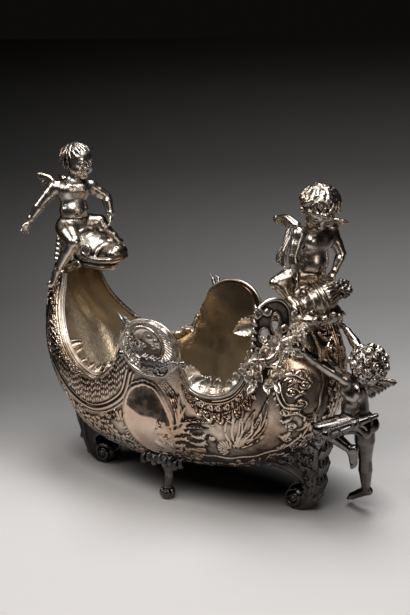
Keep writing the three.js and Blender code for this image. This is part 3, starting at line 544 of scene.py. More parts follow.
class Carving:
    # Heights drawn on a plane with strokes, in millimetres.
    def __init__(self, low, high, step=0.6):
        self.low, self.step = np.array(low, float), step
        size = np.ceil((np.array(high, float) - self.low) / step).astype(int) + 1
        self.height = np.zeros(size, np.float32)

    def window(self, low, high):
        start = np.maximum(np.floor((np.array(low) - self.low) / self.step).astype(int), 0)
        stop = np.minimum(np.ceil((np.array(high) - self.low) / self.step).astype(int) + 1,
                          self.height.shape)
        if (stop <= start).any():
            return None, None, None
        part = (slice(start[0], stop[0]), slice(start[1], stop[1]))
        x, y = (self.low[k] + self.step * np.arange(start[k], stop[k]) for k in (0, 1))
        return part, x[:, None], y[None, :]

    def raise_(self, part, found, cut=False):
        self.height[part] = self.height[part] - found if cut else np.maximum(self.height[part], found)

    def stroke(self, points, width, height, ends=(1, 1), cut=False, flat=0.5):
        # A rounded ridge along the points. ends are the shares of its width at the start and the end.
        points = np.asarray(points, float)
        part, x, y = self.window(points.min(0) - width, points.max(0) + width)
        if part is None:
            return
        best = np.zeros((len(x), y.shape[1]), np.float32)
        shares = np.linspace(0, 1, len(points))
        swell = np.interp(shares, (0, 0.35, 0.65, 1), (ends[0], 1, 1, ends[1]))
        for k in range(len(points) - 1):
            a, line = points[k], points[k + 1] - points[k]
            t = np.clip(((x - a[0]) * line[0] + (y - a[1]) * line[1]) / max(line @ line, 1e-6), 0, 1)
            away = (x - a[0] - t * line[0]) ** 2 + (y - a[1] - t * line[1]) ** 2
            size = width * (swell[k] + (swell[k + 1] - swell[k]) * t) + 1e-3
            best = np.maximum(best, np.clip(1 - away / size**2, 0, 1) ** flat
                              * (0.35 + 0.65 * size / width))
        self.raise_(part, best * height, cut)

    def dome(self, centre, radii, height, flat=0.5):
        radii = np.ones(2) * radii
        part, x, y = self.window(np.array(centre) - radii, np.array(centre) + radii)
        if part is not None:
            away = ((x - centre[0]) / radii[0]) ** 2 + ((y - centre[1]) / radii[1]) ** 2
            self.raise_(part, np.clip(1 - away, 0, 1) ** flat * height)

    def flower(self, centre, reach, petal, middle):
        # Five petals around a middle, both as (radius, height).
        for k in range(5):
            self.dome(centre + reach * heading(k * fifthTurn), *petal)
        self.dome(centre, *middle)

    def leaf(self, root, tip, width, height, bend=0.0):
        # A pointed leaf with a sunk rib and a lobed edge, bent sideways by a share of its length.
        root, tip = np.array(root, float), np.array(tip, float)
        side = np.array([root[1] - tip[1], tip[0] - root[0]])
        middle = mix(root, tip, 0.55) + side * bend
        path = curve([root, middle, tip], 1.5)
        self.stroke(path, width, height, (0.45, 0.12))
        span = np.linalg.norm(side)
        for k in range(1, 4):
            t = 0.2 + 0.2 * k
            at = path[int(t * (len(path) - 1))]
            for hand in (-1, 1):
                lobe = at + unit(tip - root) * span * 0.16 + unit(side) * hand * width * 1.15
                self.stroke([at, mix(at, lobe, 0.6), lobe], width * 0.5, height * 0.9, (1, 0.3))
        self.stroke(path, width * 0.24, height * 0.4, (1, 0.3), cut=True)

    def scroll(self, centre, start, radius, turns, width, height):
        path = spiral(centre, start, radius, turns)
        self.stroke(path, width, height, (0.5, 1))
        self.dome(path[-1], width * 1.5, height * 1.2)

    def at(self, x, y):
        fx = np.clip((x - self.low[0]) / self.step, 0, self.height.shape[0] - 1.001)
        fy = np.clip((y - self.low[1]) / self.step, 0, self.height.shape[1] - 1.001)
        i, j = fx.astype(int), fy.astype(int)
        a, b, h = fx - i, fy - j, self.height
        low = h[i, j] * (1 - a) + h[i + 1, j] * a
        return low * (1 - b) + (h[i, j + 1] * (1 - a) + h[i + 1, j + 1] * a) * b


def polygonMask(corners, x, y):
    inside = np.zeros(np.broadcast(x, y).shape, bool)
    for (x0, y0), (x1, y1) in zip(corners, np.roll(corners, -1, axis=0)):
        crosses = (y0 > y) != (y1 > y)
        inside ^= crosses & (x < (x1 - x0) * (y - y0) / (y1 - y0 + 1e-9) + x0)
    return inside


def beside(points, away):
    # The line that runs next to a line, on its left for a positive distance.
    points = np.asarray(points, float)
    way = np.gradient(points, axis=0)
    way /= np.maximum(np.linalg.norm(way, axis=1, keepdims=True), 1e-6)
    return points + np.stack([-way[:, 1], way[:, 0]], axis=1) * away


# Lines of the flank's ornament, x from the bowl's own middle and z, as seen from the side.
ovalMiddle = np.array([-26, 124])
flankLines = {
    "oval": [(-26, 181), (-45, 171), (-56, 152), (-60, 130), (-59, 108), (-52, 92), (-40, 78),
             (-24, 70), (-6, 70), (6, 82), (11, 106), (11, 130), (5, 152), (-9, 176), (-26, 181)],
    "prowBorder": [(-219, 286), (-227, 249), (-221, 206), (-197, 172), (-163, 137), (-128, 123),
                   (-100, 128), (-60, 157), (-46, 194)],
    "feathers": [((4, 120), (34, 135), (72, 141)), ((8, 114), (36, 127), (68, 131))],
    "sprays": [((6, 106), (40, 117)), ((38, 113), (62, 122)), ((4, 97), (34, 104)),
               ((34, 101), (60, 110)), ((4, 88), (28, 91)), ((30, 91), (54, 97)), ((2, 80), (24, 80))],
    "fan": [((101, 108), (95, 130), (101, 150), (111, 163), 6),
            ((103, 110), (122, 137), (126, 152), (132, 167), 5.6),
            ((104, 110), (133, 142), (142, 164), (147, 184), 5),
            ((104, 109), (126, 128), (140, 143), (146, 157), 4),
            ((104, 107), (120, 118), (130, 124), (141, 130), 4),
            ((101, 110), (111, 130), (114, 146), (114, 160), 2.6),
            ((104, 110), (128, 134), (137, 150), (140, 163), 2.6)],
    "cartouche": [(184, 206), (172, 214), (162, 212), (157, 198), (160, 182), (167, 171), (182, 168)],
    "lowScroll": [(166, 160), (178, 162), (186, 150), (179, 137), (168, 138)],
    "swirl": [(16, 112), (20, 130), (19, 150), (12, 168), (-2, 184)],
}


def carveSide():
    # Ornament of the bowl's flank, over x and z.
    c = Carving((-262, 38), (220, 312))
    oval = curve(flankLines["oval"])
    c.stroke(oval, 2.8, 2.6)
    c.stroke(mix(ovalMiddle, oval, 0.915), 1.1, 1.1)
    c.stroke(mix(ovalMiddle, oval, 1.10), 1.3, 1.6)
    border = curve(flankLines["prowBorder"])
    c.stroke(border, 3.4, 3.4, (0.6, 0.6))
    c.stroke(beside(border, 6.5), 1.6, 2.0)
    c.stroke(beside(border, -5.5), 1.3, 1.6)
    lattice = np.vstack([beside(border, 9),
                         [(-40, 215), (-60, 226), (-76, 205), (-100, 180), (-140, 172), (-174, 208),
                          (-198, 246), (-204, 290)]])
    draw = np.random.default_rng(17)
    for x in np.arange(-230, -40, 3.7):
        for z in np.arange(110, 290, 8.6) + draw.uniform(0, 8.6):
            if polygonMask(lattice, x, z):
                c.stroke([(x, z - 3.0), (x + draw.uniform(-1, 1), z), (x, z + 3.0)], 1.3,
                         2.2, (0.6, 0.6))
    # Flowers and leaves between the border and the oval, and short ribs next to the oval.
    band = np.vstack([beside(border, -11), [(-30, 60), (-215, 30), (-245, 200)]])
    around = mix(ovalMiddle, oval, 1.38)
    for row, z in enumerate(np.arange(52, 250, 11.0)):
        for k, x in enumerate(np.arange(-236 + 6 * (row % 2), -20, 12.0)):
            spot = np.array([x, z]) + draw.uniform(-1.5, 1.5, 2)
            outside = polygonMask(around, *spot) or not polygonMask(band, *spot)
            if outside or np.hypot(*(spot - (-72, 113))) < 20:
                continue
            kind, way = (row + 2 * k) % 3, (-1) ** (row + k)
            if kind == 0:
                c.scroll(spot, draw.uniform(0, 360), 6.0, 1.4 * way, 1.35, 3.8)
            elif kind == 1:
                for angle in draw.uniform(0, 2 * math.pi) + np.array([0, 1.9, 4.1]):
                    c.leaf(spot, spot + 9 * heading(angle), 2.3, 3.6, 0.2 * way)
            else:
                c.flower(spot, 2.9, (1.9, 3.6), (1.6, 4.6))
                c.leaf(spot + (4, 3), spot + (10, 5), 1.9, 3.2)
    for t in np.arange(0.30, 0.62, 0.012):
        root = oval[int(t * (len(oval) - 1))]
        inner, outer = mix(ovalMiddle, root, 1.15), mix(ovalMiddle, root, 1.33)
        c.stroke([inner, outer], 1.3, 2.6, (0.8, 0.8))
    for line in flankLines["feathers"]:
        c.stroke(curve(line, 2), 2.5, 4.6, (0.45, 0.3), flat=0.9)
    for k, (root, tip) in enumerate(flankLines["sprays"]):
        c.leaf(root, tip, 2.9, 4.0, 0.16 * (-1) ** k)
    for centre, start, radius, turns in (((-6, 123), 0, 7, 1.4), ((-12, 112), 40, 6, -1.3),
                                         ((0, 106), 90, 7, 1.2), ((-6, 96), 200, 6, -1.3),
                                         ((4, 90), 0, 5, 1.2), ((28, 88), 90, 5, 1.2),
                                         ((16, 78), 0, 5, -1.2)):
        c.scroll(centre, start, radius, turns, 1.3, 3.4)
    c.dome((73, 138), 2.6, 3.6)
    for x, z, tx, tz in ((40, 92, 56, 90), (30, 84, 44, 78), (-10, 84, -20, 94), (66, 112, 74, 118)):
        c.leaf((x, z), (tx, tz), 3.4, 3.6, 0.15)
    for k in range(9):
        way = heading(math.radians(82 + 17 * k)) * (17, 15)
        c.stroke([way * 0.3 + (93, 100), way + (93, 100)], 1.9, 2.8, (0.4, 1), flat=0.9)
    for *points, width in flankLines["fan"]:
        path = curve(points, 2)
        swell = np.sin(math.pi * np.clip(np.linspace(0.05, 1.0, len(path)), 0, 1)) ** 0.8 * width
        for hand in (-1, 1):
            c.stroke(path + (beside(path, 1) - path) * (swell * hand * 0.8)[:, None], 1.0,
                     3.0, (0.7, 0.5))
    for k in range(4):
        c.stroke(beside(curve(flankLines["swirl"], 2), -3.4 * k), 1.15, 3.4 - 0.4 * k, (0.6, 0.4))
    stem = np.array([20, 112])
    for tip, bend in (((34, 156), -0.05), ((50, 142), -0.1), ((26, 172), 0.05)):
        middle = mix(stem, tip, 0.5) + (bend * 40, 3)
        c.stroke(curve([stem, middle, tip], 2), 3.2, 4.2, (0.5, 0.3), flat=0.9)
    big, low = curve(flankLines["cartouche"], 2), curve(flankLines["lowScroll"], 2)
    c.stroke(big, 1.9, 3.2, (0.5, 0.7))
    c.stroke(beside(big, 4.5), 1.1, 2.2)
    c.stroke(low, 1.6, 2.8, (0.7, 0.6))
    for k in range(12):
        c.dome(beside(big, -4)[int((k + 0.5) / 12 * len(big))], 1.4, 2.6)
    for centre, start, radius, turns in (((184, 200), 60, 7, -1.5), ((181, 175), -90, 7, 1.5),
                                         ((166, 165), 90, 6, 1.4), ((171, 144), 200, 6, -1.5),
                                         ((172, 191), 0, 7, 1.3), ((164, 124), 30, 6, 1.4),
                                         ((176, 122), 90, 6, -1.3), ((166, 108), 0, 5, 1.3),
                                         ((188, 150), 30, 7, 1.2), ((178, 214), 0, 5, 1.2)):
        c.scroll(centre, start, radius, turns, 1.2, 2.8)
    for x, z, tx, tz in ((172, 158, 160, 152), (168, 134, 156, 128), (172, 118, 160, 112),
                         (182, 134, 192, 124), (176, 184, 186, 190), (168, 200, 176, 206),
                         (160, 116, 150, 108), (172, 104, 160, 96)):
        c.leaf((x, z), (tx, tz), 2.6, 2.8, 0.2)
    for k in range(5):
        way = heading(math.radians(60 + 27 * k))
        c.stroke([(-70, 113) + 5 * way, (-70, 113) + 19 * way], 1.9, 4.2, (0.5, 0.9))
    return c


def carveKeel():
    # Running vines under the flank's ornament, over the length along the keel and the distance up the side.
    c = Carving((0, 0), (900, 132), 0.8)
    draw = np.random.default_rng(3)
    at = np.array([0, 100, 196, 252, 300, 340, 372, 400, 460, 560, 620, 680, 900])
    tops = np.array([40, 62, 98, 110, 112, 104, 100, 98, 95, 82, 56, 42, 36])
    reach = 30.0
    for row, height in enumerate((16, 40, 63, 86, 106)):
        for k in range(28):
            x, way = 30 + reach * k + 11 * (row % 2), (-1) ** (k + row)
            if height + 8 > np.interp(x, at, tops):
                continue
            wave = [(x - 16, height - way * 8), (x, height + way * 6), (x + 16, height - way * 8)]
            c.stroke(curve(wave, 2), 1.5, 3.2)
            c.scroll((x, height - way * 2), 90 * way, 8.5, -1.5 * way, 1.35, 3.6)
            for _ in range(5):
                angle = draw.uniform(0, 2 * math.pi)
                spot = np.array([x + draw.uniform(-14, 14), height + draw.uniform(-11, 11)])
                c.leaf(spot, spot + 11 * heading(angle), 2.5, 3.6, draw.uniform(-0.25, 0.25))
            for _ in range(2):
                spot = np.array([x + draw.uniform(-14, 14), height + draw.uniform(-10, 10)])
                c.flower(spot, 2.3, (1.7, 3.4), (1.4, 4.4))
    x = np.arange(10, 880, 4.0)
    edge = np.stack([x, np.interp(x, at, tops) + 1.5 * np.sin(x / 6)], axis=1)
    c.stroke(edge, 1.5, 2.4)
    c.stroke(edge * (1, 0) + (0, 2.5), 2.4, 2.8)
    return c


def carveRim(rimLength):
    # Mouldings that follow the rim, over the length along it and the distance down from it.
    def at(u):
        return float(np.interp(u, np.linspace(0, lastFrame, len(rimLength)), rimLength))

    def line(depth, first, last):
        return np.stack([np.linspace(first, last, 120), np.full(120, depth)], axis=1)

    c = Carving((0, 0), (rimLength[-1], 44))
    start, end = at(12.3), at(18.3)
    c.stroke(line(3.2, start - 20, end + 8), 1.9, 3.0)
    c.stroke(line(7.2, start - 16, end + 4), 1.0, 2.0)
    c.stroke(line(19.5, start - 6, end), 1.4, 2.6)
    for x in np.arange(start, end, 3.7):
        c.stroke([(x, 9), (x + 0.8, 13), (x, 17.6)], 1.55, 2.6)
        c.dome((x, 20.0), 1.3, 3.2)
    for x in np.arange(start + 2, end - 2, 17.0):
        for hand in (-1, 1):
            c.stroke(curve([(x + hand * 7, 21), (x + hand * 5.5, 29), (x, 36)], 2), 1.8,
                     4.4, (0.8, 0.6))
            c.stroke([(x + hand * 2.6, 21), (x, 29)], 1.5, 4.0)
    start, end = at(0.2), at(8.4)
    c.stroke(line(2.8, start, end), 2.6, 3.2)
    c.stroke(line(8.0, start, end), 1.5, 2.2)
    for x in np.arange(start, at(4.4), 3.4):
        c.stroke([(x, 11), (x + 1.5, 19)], 1.1, 1.8)
    return c


def makeBowl():
    # Four shells, each with a carved outside and a gilt inside, that meet along the keel and one frame.
    flank, underside = carveSide(), carveKeel()
    spacing, wall, lifts = bowlSizes["spacing"], bowlSizes["wall"], bowlSizes["lifts"]
    fine, even, dense = np.linspace(0, lastFrame, 400), np.linspace(0, 1, 4000), np.linspace(0, 1, 120)
    shares, length = evenly(bowlPoint(fine, 0.5, near), len(even))
    keelLength, rimLength = (lengthsAlong(bowlPoint(fine, v, near)) for v in (0, 1))
    edging = carveRim(rimLength)
    oval = curve(flankLines["oval"], 6)
    cut = bowlSizes["split"] / lastFrame
    columns = int(bowlSizes["girth"] / spacing)
    for (side, word, _), (start, end, place) in product(bothSides, ((0, cut, "Fore"), (cut, 1, "Aft"))):
        portion = np.interp([start, end], shares, even)
        rows = int((portion[1] - portion[0]) * length / spacing) + 2
        u = np.interp(np.linspace(portion[0], portion[1], rows), even, shares) * lastFrame
        samples = bowlPoint(u[:, None], dense[None, :], side)
        along = np.array([lengthsAlong(line) for line in samples])
        v = np.stack([np.interp(np.linspace(0, row[-1], columns), row, dense) for row in along])
        distance = np.linspace(0, 1, columns)[None, :] * along[:, -1:]
        base = bowlPoint(u[:, None], v, side)
        normal = bowlNormal(np.broadcast_to(u[:, None], v.shape), v, side)
        normal[:, 0, 1] = 0
        normal /= np.linalg.norm(normal, axis=2, keepdims=True)
        keelAt, rimAt = (np.interp(u, fine, line)[:, None] + 0 * v for line in (keelLength, rimLength))
        belowRim = along[:, -1:] - distance
        x, z = base[..., 0] - shift, base[..., 2]
        lift = lifts["flank"] * flank.at(x, z) * smoothStep(0.12, 0.3, np.abs(normal[..., 1]))
        bare = ~polygonMask(oval, x, z)
        lift = np.maximum(lift, lifts["keel"] * underside.at(keelAt, distance) * bare
                          * (distance < 130))
        lift = np.maximum(lift, lifts["rim"] * edging.at(rimAt, belowRim) * (belowRim < 43))
        outer = (base + normal * lift[..., None]).reshape(-1, 3)
        inner = (base - normal * wall).reshape(-1, 3)
        front, back = slabFaces(rows, columns)
        faces = np.vstack([front, back])[:, ::-side]
        x, z = x.ravel(), z.ravel()
        relief = reliefOf(outer, gridFaces(rows, columns, flip=side == far), 8)
        # Painted shade and extra tarnish: the relief is lowered here, so the flank comes out darker.
        for amount, edges in bowlPaintedShade:
            fades = [smoothStep(a, b, x if axis == "x" else z) for axis, a, b in edges]
            relief -= amount * np.prod(fades, axis=0)
        # Painted reflection: inside the oval boss the relief makes the upper part dark and the lower part
        # bright, as if it mirrored a dark room above and a pale floor below.
        boss = polygonMask(mix(ovalMiddle, oval, 0.95), x, z)
        above = smoothStep(-2, 4, z - 141 + 0.33 * (x + 60) + 3 * np.sin(x / 8))
        relief = np.where(boss & (relief < 0.4), 0.3 - 0.74 * above, relief)
        relief = np.concatenate([relief, np.zeros(len(inner))])
        nodes = ["bowl"] if (side, place) == (near, "Fore") else []
        skins = np.vstack([outer, inner])
        sharpen(addPiece("bowl" + place + word, skins, faces, "bowlSilver", "bowl_silver", nodes,
                         relief=relief, second=(len(front), gilt)))
    print("bowl: keel", round(keelLength[-1]), "mm")


def bowlTree():
    # The bowl's outer surface, to find the nearest point on it.
    points, faces = [], []
    u, v = np.meshgrid(np.linspace(0, lastFrame, 70), np.linspace(0.02, 1, 26), indexing="ij")
    for side in (near, far):
        faces.append(gridFaces(*u.shape, len(points) * u.size, flip=side == far))
        points.append(bowlPoint(u, v, side).reshape(-1, 3))
    return BVHTree.FromPolygons(np.vstack(points).tolist(), np.vstack(faces).tolist())


def keptOutside(points, depth=1.2):
    # Moves every point that lies inside the bowl into its wall, where it can't be seen.
    for k, point in enumerate(points):
        found, normal, _, away = bowlSurface.find_nearest(point.tolist())
        if away < 45 and (Vector(point) - found) @ normal < -depth:
            points[k] = found - normal * depth
    return points


bowlSurface = bowlTree()


def sharpen(piece):
    piece.data.set_sharp_from_angle(angle=math.radians(50))


makeBowl()

# Figures: joints in millimetres, their x from the bowl's own middle. Which way they face follows from the
# shoulders.
figures = {
    "rider": {
        "size": 1.1, "girth": 1.2, "limbs": 1.16, "metal": "castSilver", "pelvis": (-217, 0, 355),
        "belly": (-214, -2, 376), "chest": (-214, -2, 401), "neck": (-213, -1, 421),
        "head": (-205, 0, 447.4),
        "look": (0.97, -0.24, -0.06), "hair": "swept",
        "right": {"shoulder": (-232, -19, 410), "elbow": (-247, -32, 389), "wrist": (-261, -40, 366),
                  "hand": (-266, -43, 356), "palm": (0.5, -0.6, -0.6), "curl": 0.35,
                  "hip": (-222, -12, 351), "knee": (-192, -33, 338), "ankle": (-218, -38, 295),
                  "toe": (-225, -43, 275)},
        "left": {"shoulder": (-199, 20, 408), "elbow": (-180, 32, 393), "wrist": (-171, 28, 371),
                 "hand": (-169, 25, 362), "palm": (-0.2, -0.5, -0.8), "curl": 0.6,
                 "hip": (-213, 10, 352), "knee": (-190, 26, 357), "ankle": (-172, 34, 337),
                 "toe": (-164, 37, 328)},
        "wings": {"right": ((-239, -7, 411), (-257, -15, 425), (0.3, 0, -1), 17),
                  "left": ((-232, 9, 411), (-250, 17, 420), (0.3, 0, -1), 15)},
    },
    "pourer": {
        "size": 1.25, "girth": 1.1, "limbs": 0.95, "metal": "castSilver", "pelvis": (156, 2, 326),
        "belly": (161, 0, 347), "chest": (165, -2, 370), "neck": (168, -2, 389), "head": (173, -4, 416),
        "look": (0.48, -0.62, -0.72), "hair": "waves",
        "right": {"shoulder": (155, -25, 386), "elbow": (153, -37, 358), "wrist": (157, -36, 335),
                  "hand": (159, -37, 328), "palm": (0.1, -0.2, -0.97), "curl": 0.5,
                  "hip": (150, -13, 329), "knee": (132, -40, 322), "ankle": (149, -38, 302),
                  "toe": (160, -40, 296)},
        "left": {"shoulder": (180, 19, 381), "elbow": (193, 23, 354), "wrist": (189, 12, 334),
                 "hand": (186, 8, 327), "palm": (-0.3, -0.2, -0.93), "curl": 0.5,
                 "hip": (160, 15, 328), "knee": (148, 47, 321), "ankle": (160, 46, 299),
                 "toe": (172, 48, 293)},
        "wings": {"right": ((140, -2, 391), (103, 14, 393), (0.15, 0, -1), 15),
                  "left": ((170, 19, 390), (191, 29, 396), (-0.2, 0.1, -1), 15)},
    },
    "pusher": {
        "size": 1.2, "girth": 1.02, "limbs": 1.0, "metal": "shadedSilver", "pelvis": (243, -15, 146),
        "belly": (239, -19, 166), "chest": (238, -21, 187), "neck": (241, -20, 203),
        "head": (250.4, -18, 222),
        "look": (-0.74, 0.42, -0.5), "hair": "curls",
        "right": {"shoulder": (235, 5, 203), "elbow": (217, 30, 231), "wrist": (198, 40, 246),
                  "hand": (191, 42, 251), "palm": (-0.8, -0.5, -0.3), "curl": 0.1,
                  "hip": (243, 0, 139), "knee": (239, 17, 86), "ankle": (238, 28, 31),
                  "toe": (215, 35, 14)},
        "left": {"shoulder": (229, -37, 208), "elbow": (203, -63, 233), "wrist": (190, -80, 251),
                 "hand": (185, -86, 258), "palm": (-0.5, 0.8, -0.2), "curl": 0.1,
                 "hip": (241, -27, 148), "knee": (203, -52, 141), "ankle": (246, -46, 117),
                 "toe": (247, -42, 99)},
        "wings": {"right": ((247, -2, 190), (272, 10, 198), (0.2, 0, -1), 17),
                  "left": ((245, -22, 194), (269, -20, 201), (0.2, 0, -1), 13)},
    },
}


for f in figures.values():
    for part in (f, f["right"], f["left"]):
        for key in ("pelvis", "belly", "chest", "neck", "head", "shoulder", "elbow", "wrist", "hand",
                    "hip", "knee", "ankle", "toe"):
            if key in part:
                part[key] = np.array(part[key], float) + (shift, 0, 0)
    for side, (root, tip, drop, chord) in f["wings"].items():
        root, tip = (np.array(place, float) + (shift, 0, 0) for place in (root, tip))
        f["wings"][side] = (root, tip, drop, chord)


def crossed(a, b):
    return unit(np.cross(a, b))


def shapeHand(clay, wrist, hand, palm, size, curl):
    along = unit(hand - wrist)
    across = crossed(unit(palm), along)
    palm = crossed(along, across)
    clay.ball(hand, np.array([5.2, 5.0, 3.1]) * size, (along, across, palm), 2.0)
    for k in range(4):
        root = hand + (along * 3.4 + across * (k - 1.5) * 2.5) * size
        spread = along + across * (k - 1.5) * 0.16
        middle = root + unit(spread + palm * curl * 0.6) * 4.4 * size
        tip = middle + unit(spread * (1 - curl * 0.6) + palm * curl * 1.3) * 3.6 * size
        clay.limb(root, middle, 1.45 * size, 1.25 * size, 0.8)
        clay.limb(middle, tip, 1.25 * size, 1.0 * size, 0.3)
    thumb = hand - across * 3.6 * size
    tip = thumb + (along * 4.4 - across * 2.6 + palm * 1.2) * size
    clay.limb(thumb, tip, 1.7 * size, 1.2 * size, 1.0)


def shapeLeg(clay, leg, left, size, full):
    hip, knee, ankle, toe = (leg[k] for k in ("hip", "knee", "ankle", "toe"))
    shin = unit(ankle - knee)
    bent = unit(knee - hip)
    back = unit(unit(hip - knee) + shin * 0.3 - 1.2 * shin * (unit(hip - knee) @ shin))
    clay.limb(hip, mix(hip, knee, 0.5), 11.8 * full, 11.4 * full, 5)
    clay.limb(mix(hip, knee, 0.5), knee, 11.4 * full, 8.2 * full, 1)
    clay.ball(knee + bent * 1.5 * size, 7.4 * full, None, 1.5)
    calf = mix(knee, ankle, 0.36) + back * 1.8 * size
    clay.limb(knee, calf, 7.2 * full, 8.0 * full, 1.5).limb(calf, ankle, 8.0 * full, 4.6 * full, 0.8)
    clay.ball(ankle, 5.0 * full, None, 2)
    sole = unit(toe - ankle)
    heel = ankle - sole * 4.6 * size + shin * 3.0 * size
    clay.limb(heel, ankle, 4.6 * size, 4.6 * full, 2)
    clay.limb(ankle + sole * 2 * size, toe, 5.2 * size, 4.3 * size, 3)
    clay.limb(heel, toe, 4.4 * size, 3.8 * size, 2)
    across = unit(left - sole * (left @ sole))
    for k in range(5):
        root = toe + across * (k - 2) * 2.3 * size
        clay.limb(root, root + sole * (5.4 - abs(k - 1.2) * 0.7) * size, 2.0 * size, 1.8 * size, 0.6)


def shapeBody(name, f):
    size, girth, full = f["size"], f["size"] * f["girth"], f["size"] * f["limbs"]
    at = {k: f[k] for k in ("pelvis", "belly", "chest", "neck", "head")}
    limbEnds = ("shoulder", "elbow", "hand", "hip", "knee", "toe", "ankle")
    ends = [f[s][k] for s in ("right", "left") for k in limbEnds]
    joints = [*at.values(), *ends]
    clay = Clay(np.min(joints, 0) - 22, np.max(joints, 0) + 22, 1.02)
    rise = unit(at["neck"] - at["pelvis"])
    left = f["left"]["shoulder"] - f["right"]["shoulder"]
    left = unit(left - rise * (left @ rise))
    front = crossed(left, rise)
    axes = (front, left, rise)
    clay.ball(at["pelvis"], np.array([14.5, 17, 13]) * girth, axes)
    clay.ball(at["belly"] + front * 2.2 * size, np.array([14.5, 16, 15]) * girth, axes, 6)
    clay.ball(at["chest"], np.array([12.5, 17, 15]) * girth, axes, 7)
    clay.ball(mix(at["chest"], at["neck"], 0.55), np.array([10, 14, 8]) * girth, axes, 5)
    for s, hand in (("right", -1), ("left", 1)):
        arm = f[s]
        shoulder, elbow, wrist = (arm[k] for k in ("shoulder", "elbow", "wrist"))
        clay.ball(at["chest"] + (front * 8.4 + left * hand * 7.2 + rise * 5) * girth,
                  np.array([5.0, 8.2, 7.2]) * girth, axes, 6)
        clay.ball(at["pelvis"] + (-front * 9 + left * hand * 8 - rise * 5) * girth,
                  np.array([8.4, 8.4, 9.2]) * girth, axes, 2.5)
        clay.ball(at["chest"] + (-front * 8.5 + left * hand * 7.5 + rise * 5) * girth,
                  np.array([4, 6, 8]) * girth, axes, 4)
        clay.limb(mix(at["chest"], shoulder, 0.45) + rise * 5 * size, shoulder, 7.8 * full,
                  7.6 * full, 7)
        upper, swell = mix(shoulder, elbow, 0.5), mix(elbow, wrist, 0.3)
        clay.limb(shoulder, upper, 7.4 * full, 7.0 * full, 4)
        clay.limb(upper, elbow, 7.0 * full, 5.4 * full, 0.6)
        clay.limb(elbow, swell, 5.4 * full, 6.0 * full, 0.8)
        clay.limb(swell, wrist, 6.0 * full, 3.8 * full, 0.6)
        clay.ball(wrist, 4.6 * full, None, 0.6)
        shapeHand(clay, wrist, arm["hand"], arm["palm"], size, arm["curl"])
        shapeLeg(clay, arm, left, size, full)
    clay.limb(at["neck"] - rise * 3 * size, mix(at["neck"], at["head"], 0.5), 9.2 * size, 8.2 * size, 5)
    navel = at["belly"] + front * (2.2 * size + 14.7 * girth) - rise * 1.5 * size
    clay.ball(navel, 2.0 * size, None, 1.5, cut=True)
    high = at["chest"] - front * 13.4 * girth + rise * 10 * size
    low = at["pelvis"] - front * 14.6 * girth + rise * 6 * size
    clay.limb(high, low, 1.1 * size, 1.1 * size, 3, cut=True)
    clay.limb(at["pelvis"] + (-front * 17.2 - rise * 1) * girth,
              at["pelvis"] + (-front * 15 - rise * 13) * girth, 0.8 * size, 1.2 * size, 2, cut=True)
    for drop, depth, width in ((-8, 13.6, 4.2), (6.5, 12.6, 3.9)):
        crease = at["belly"] + rise * drop * size
        arc = [crease + (front * (depth - 4.5 * (k / 3) ** 2) + left * k * width) * girth
               for k in np.linspace(-3, 3, 9)]
        clay.tube(arc, [0.4, 1.0, 0.4], 2.5, cut=True)
    points, faces = clay.mesh(3)
    nodes = [name + part for part in ("_body", "_right_arm", "_left_arm")]
    return addPiece(name + "Body", points, faces, f["metal"], "cast_silver", nodes, 14)


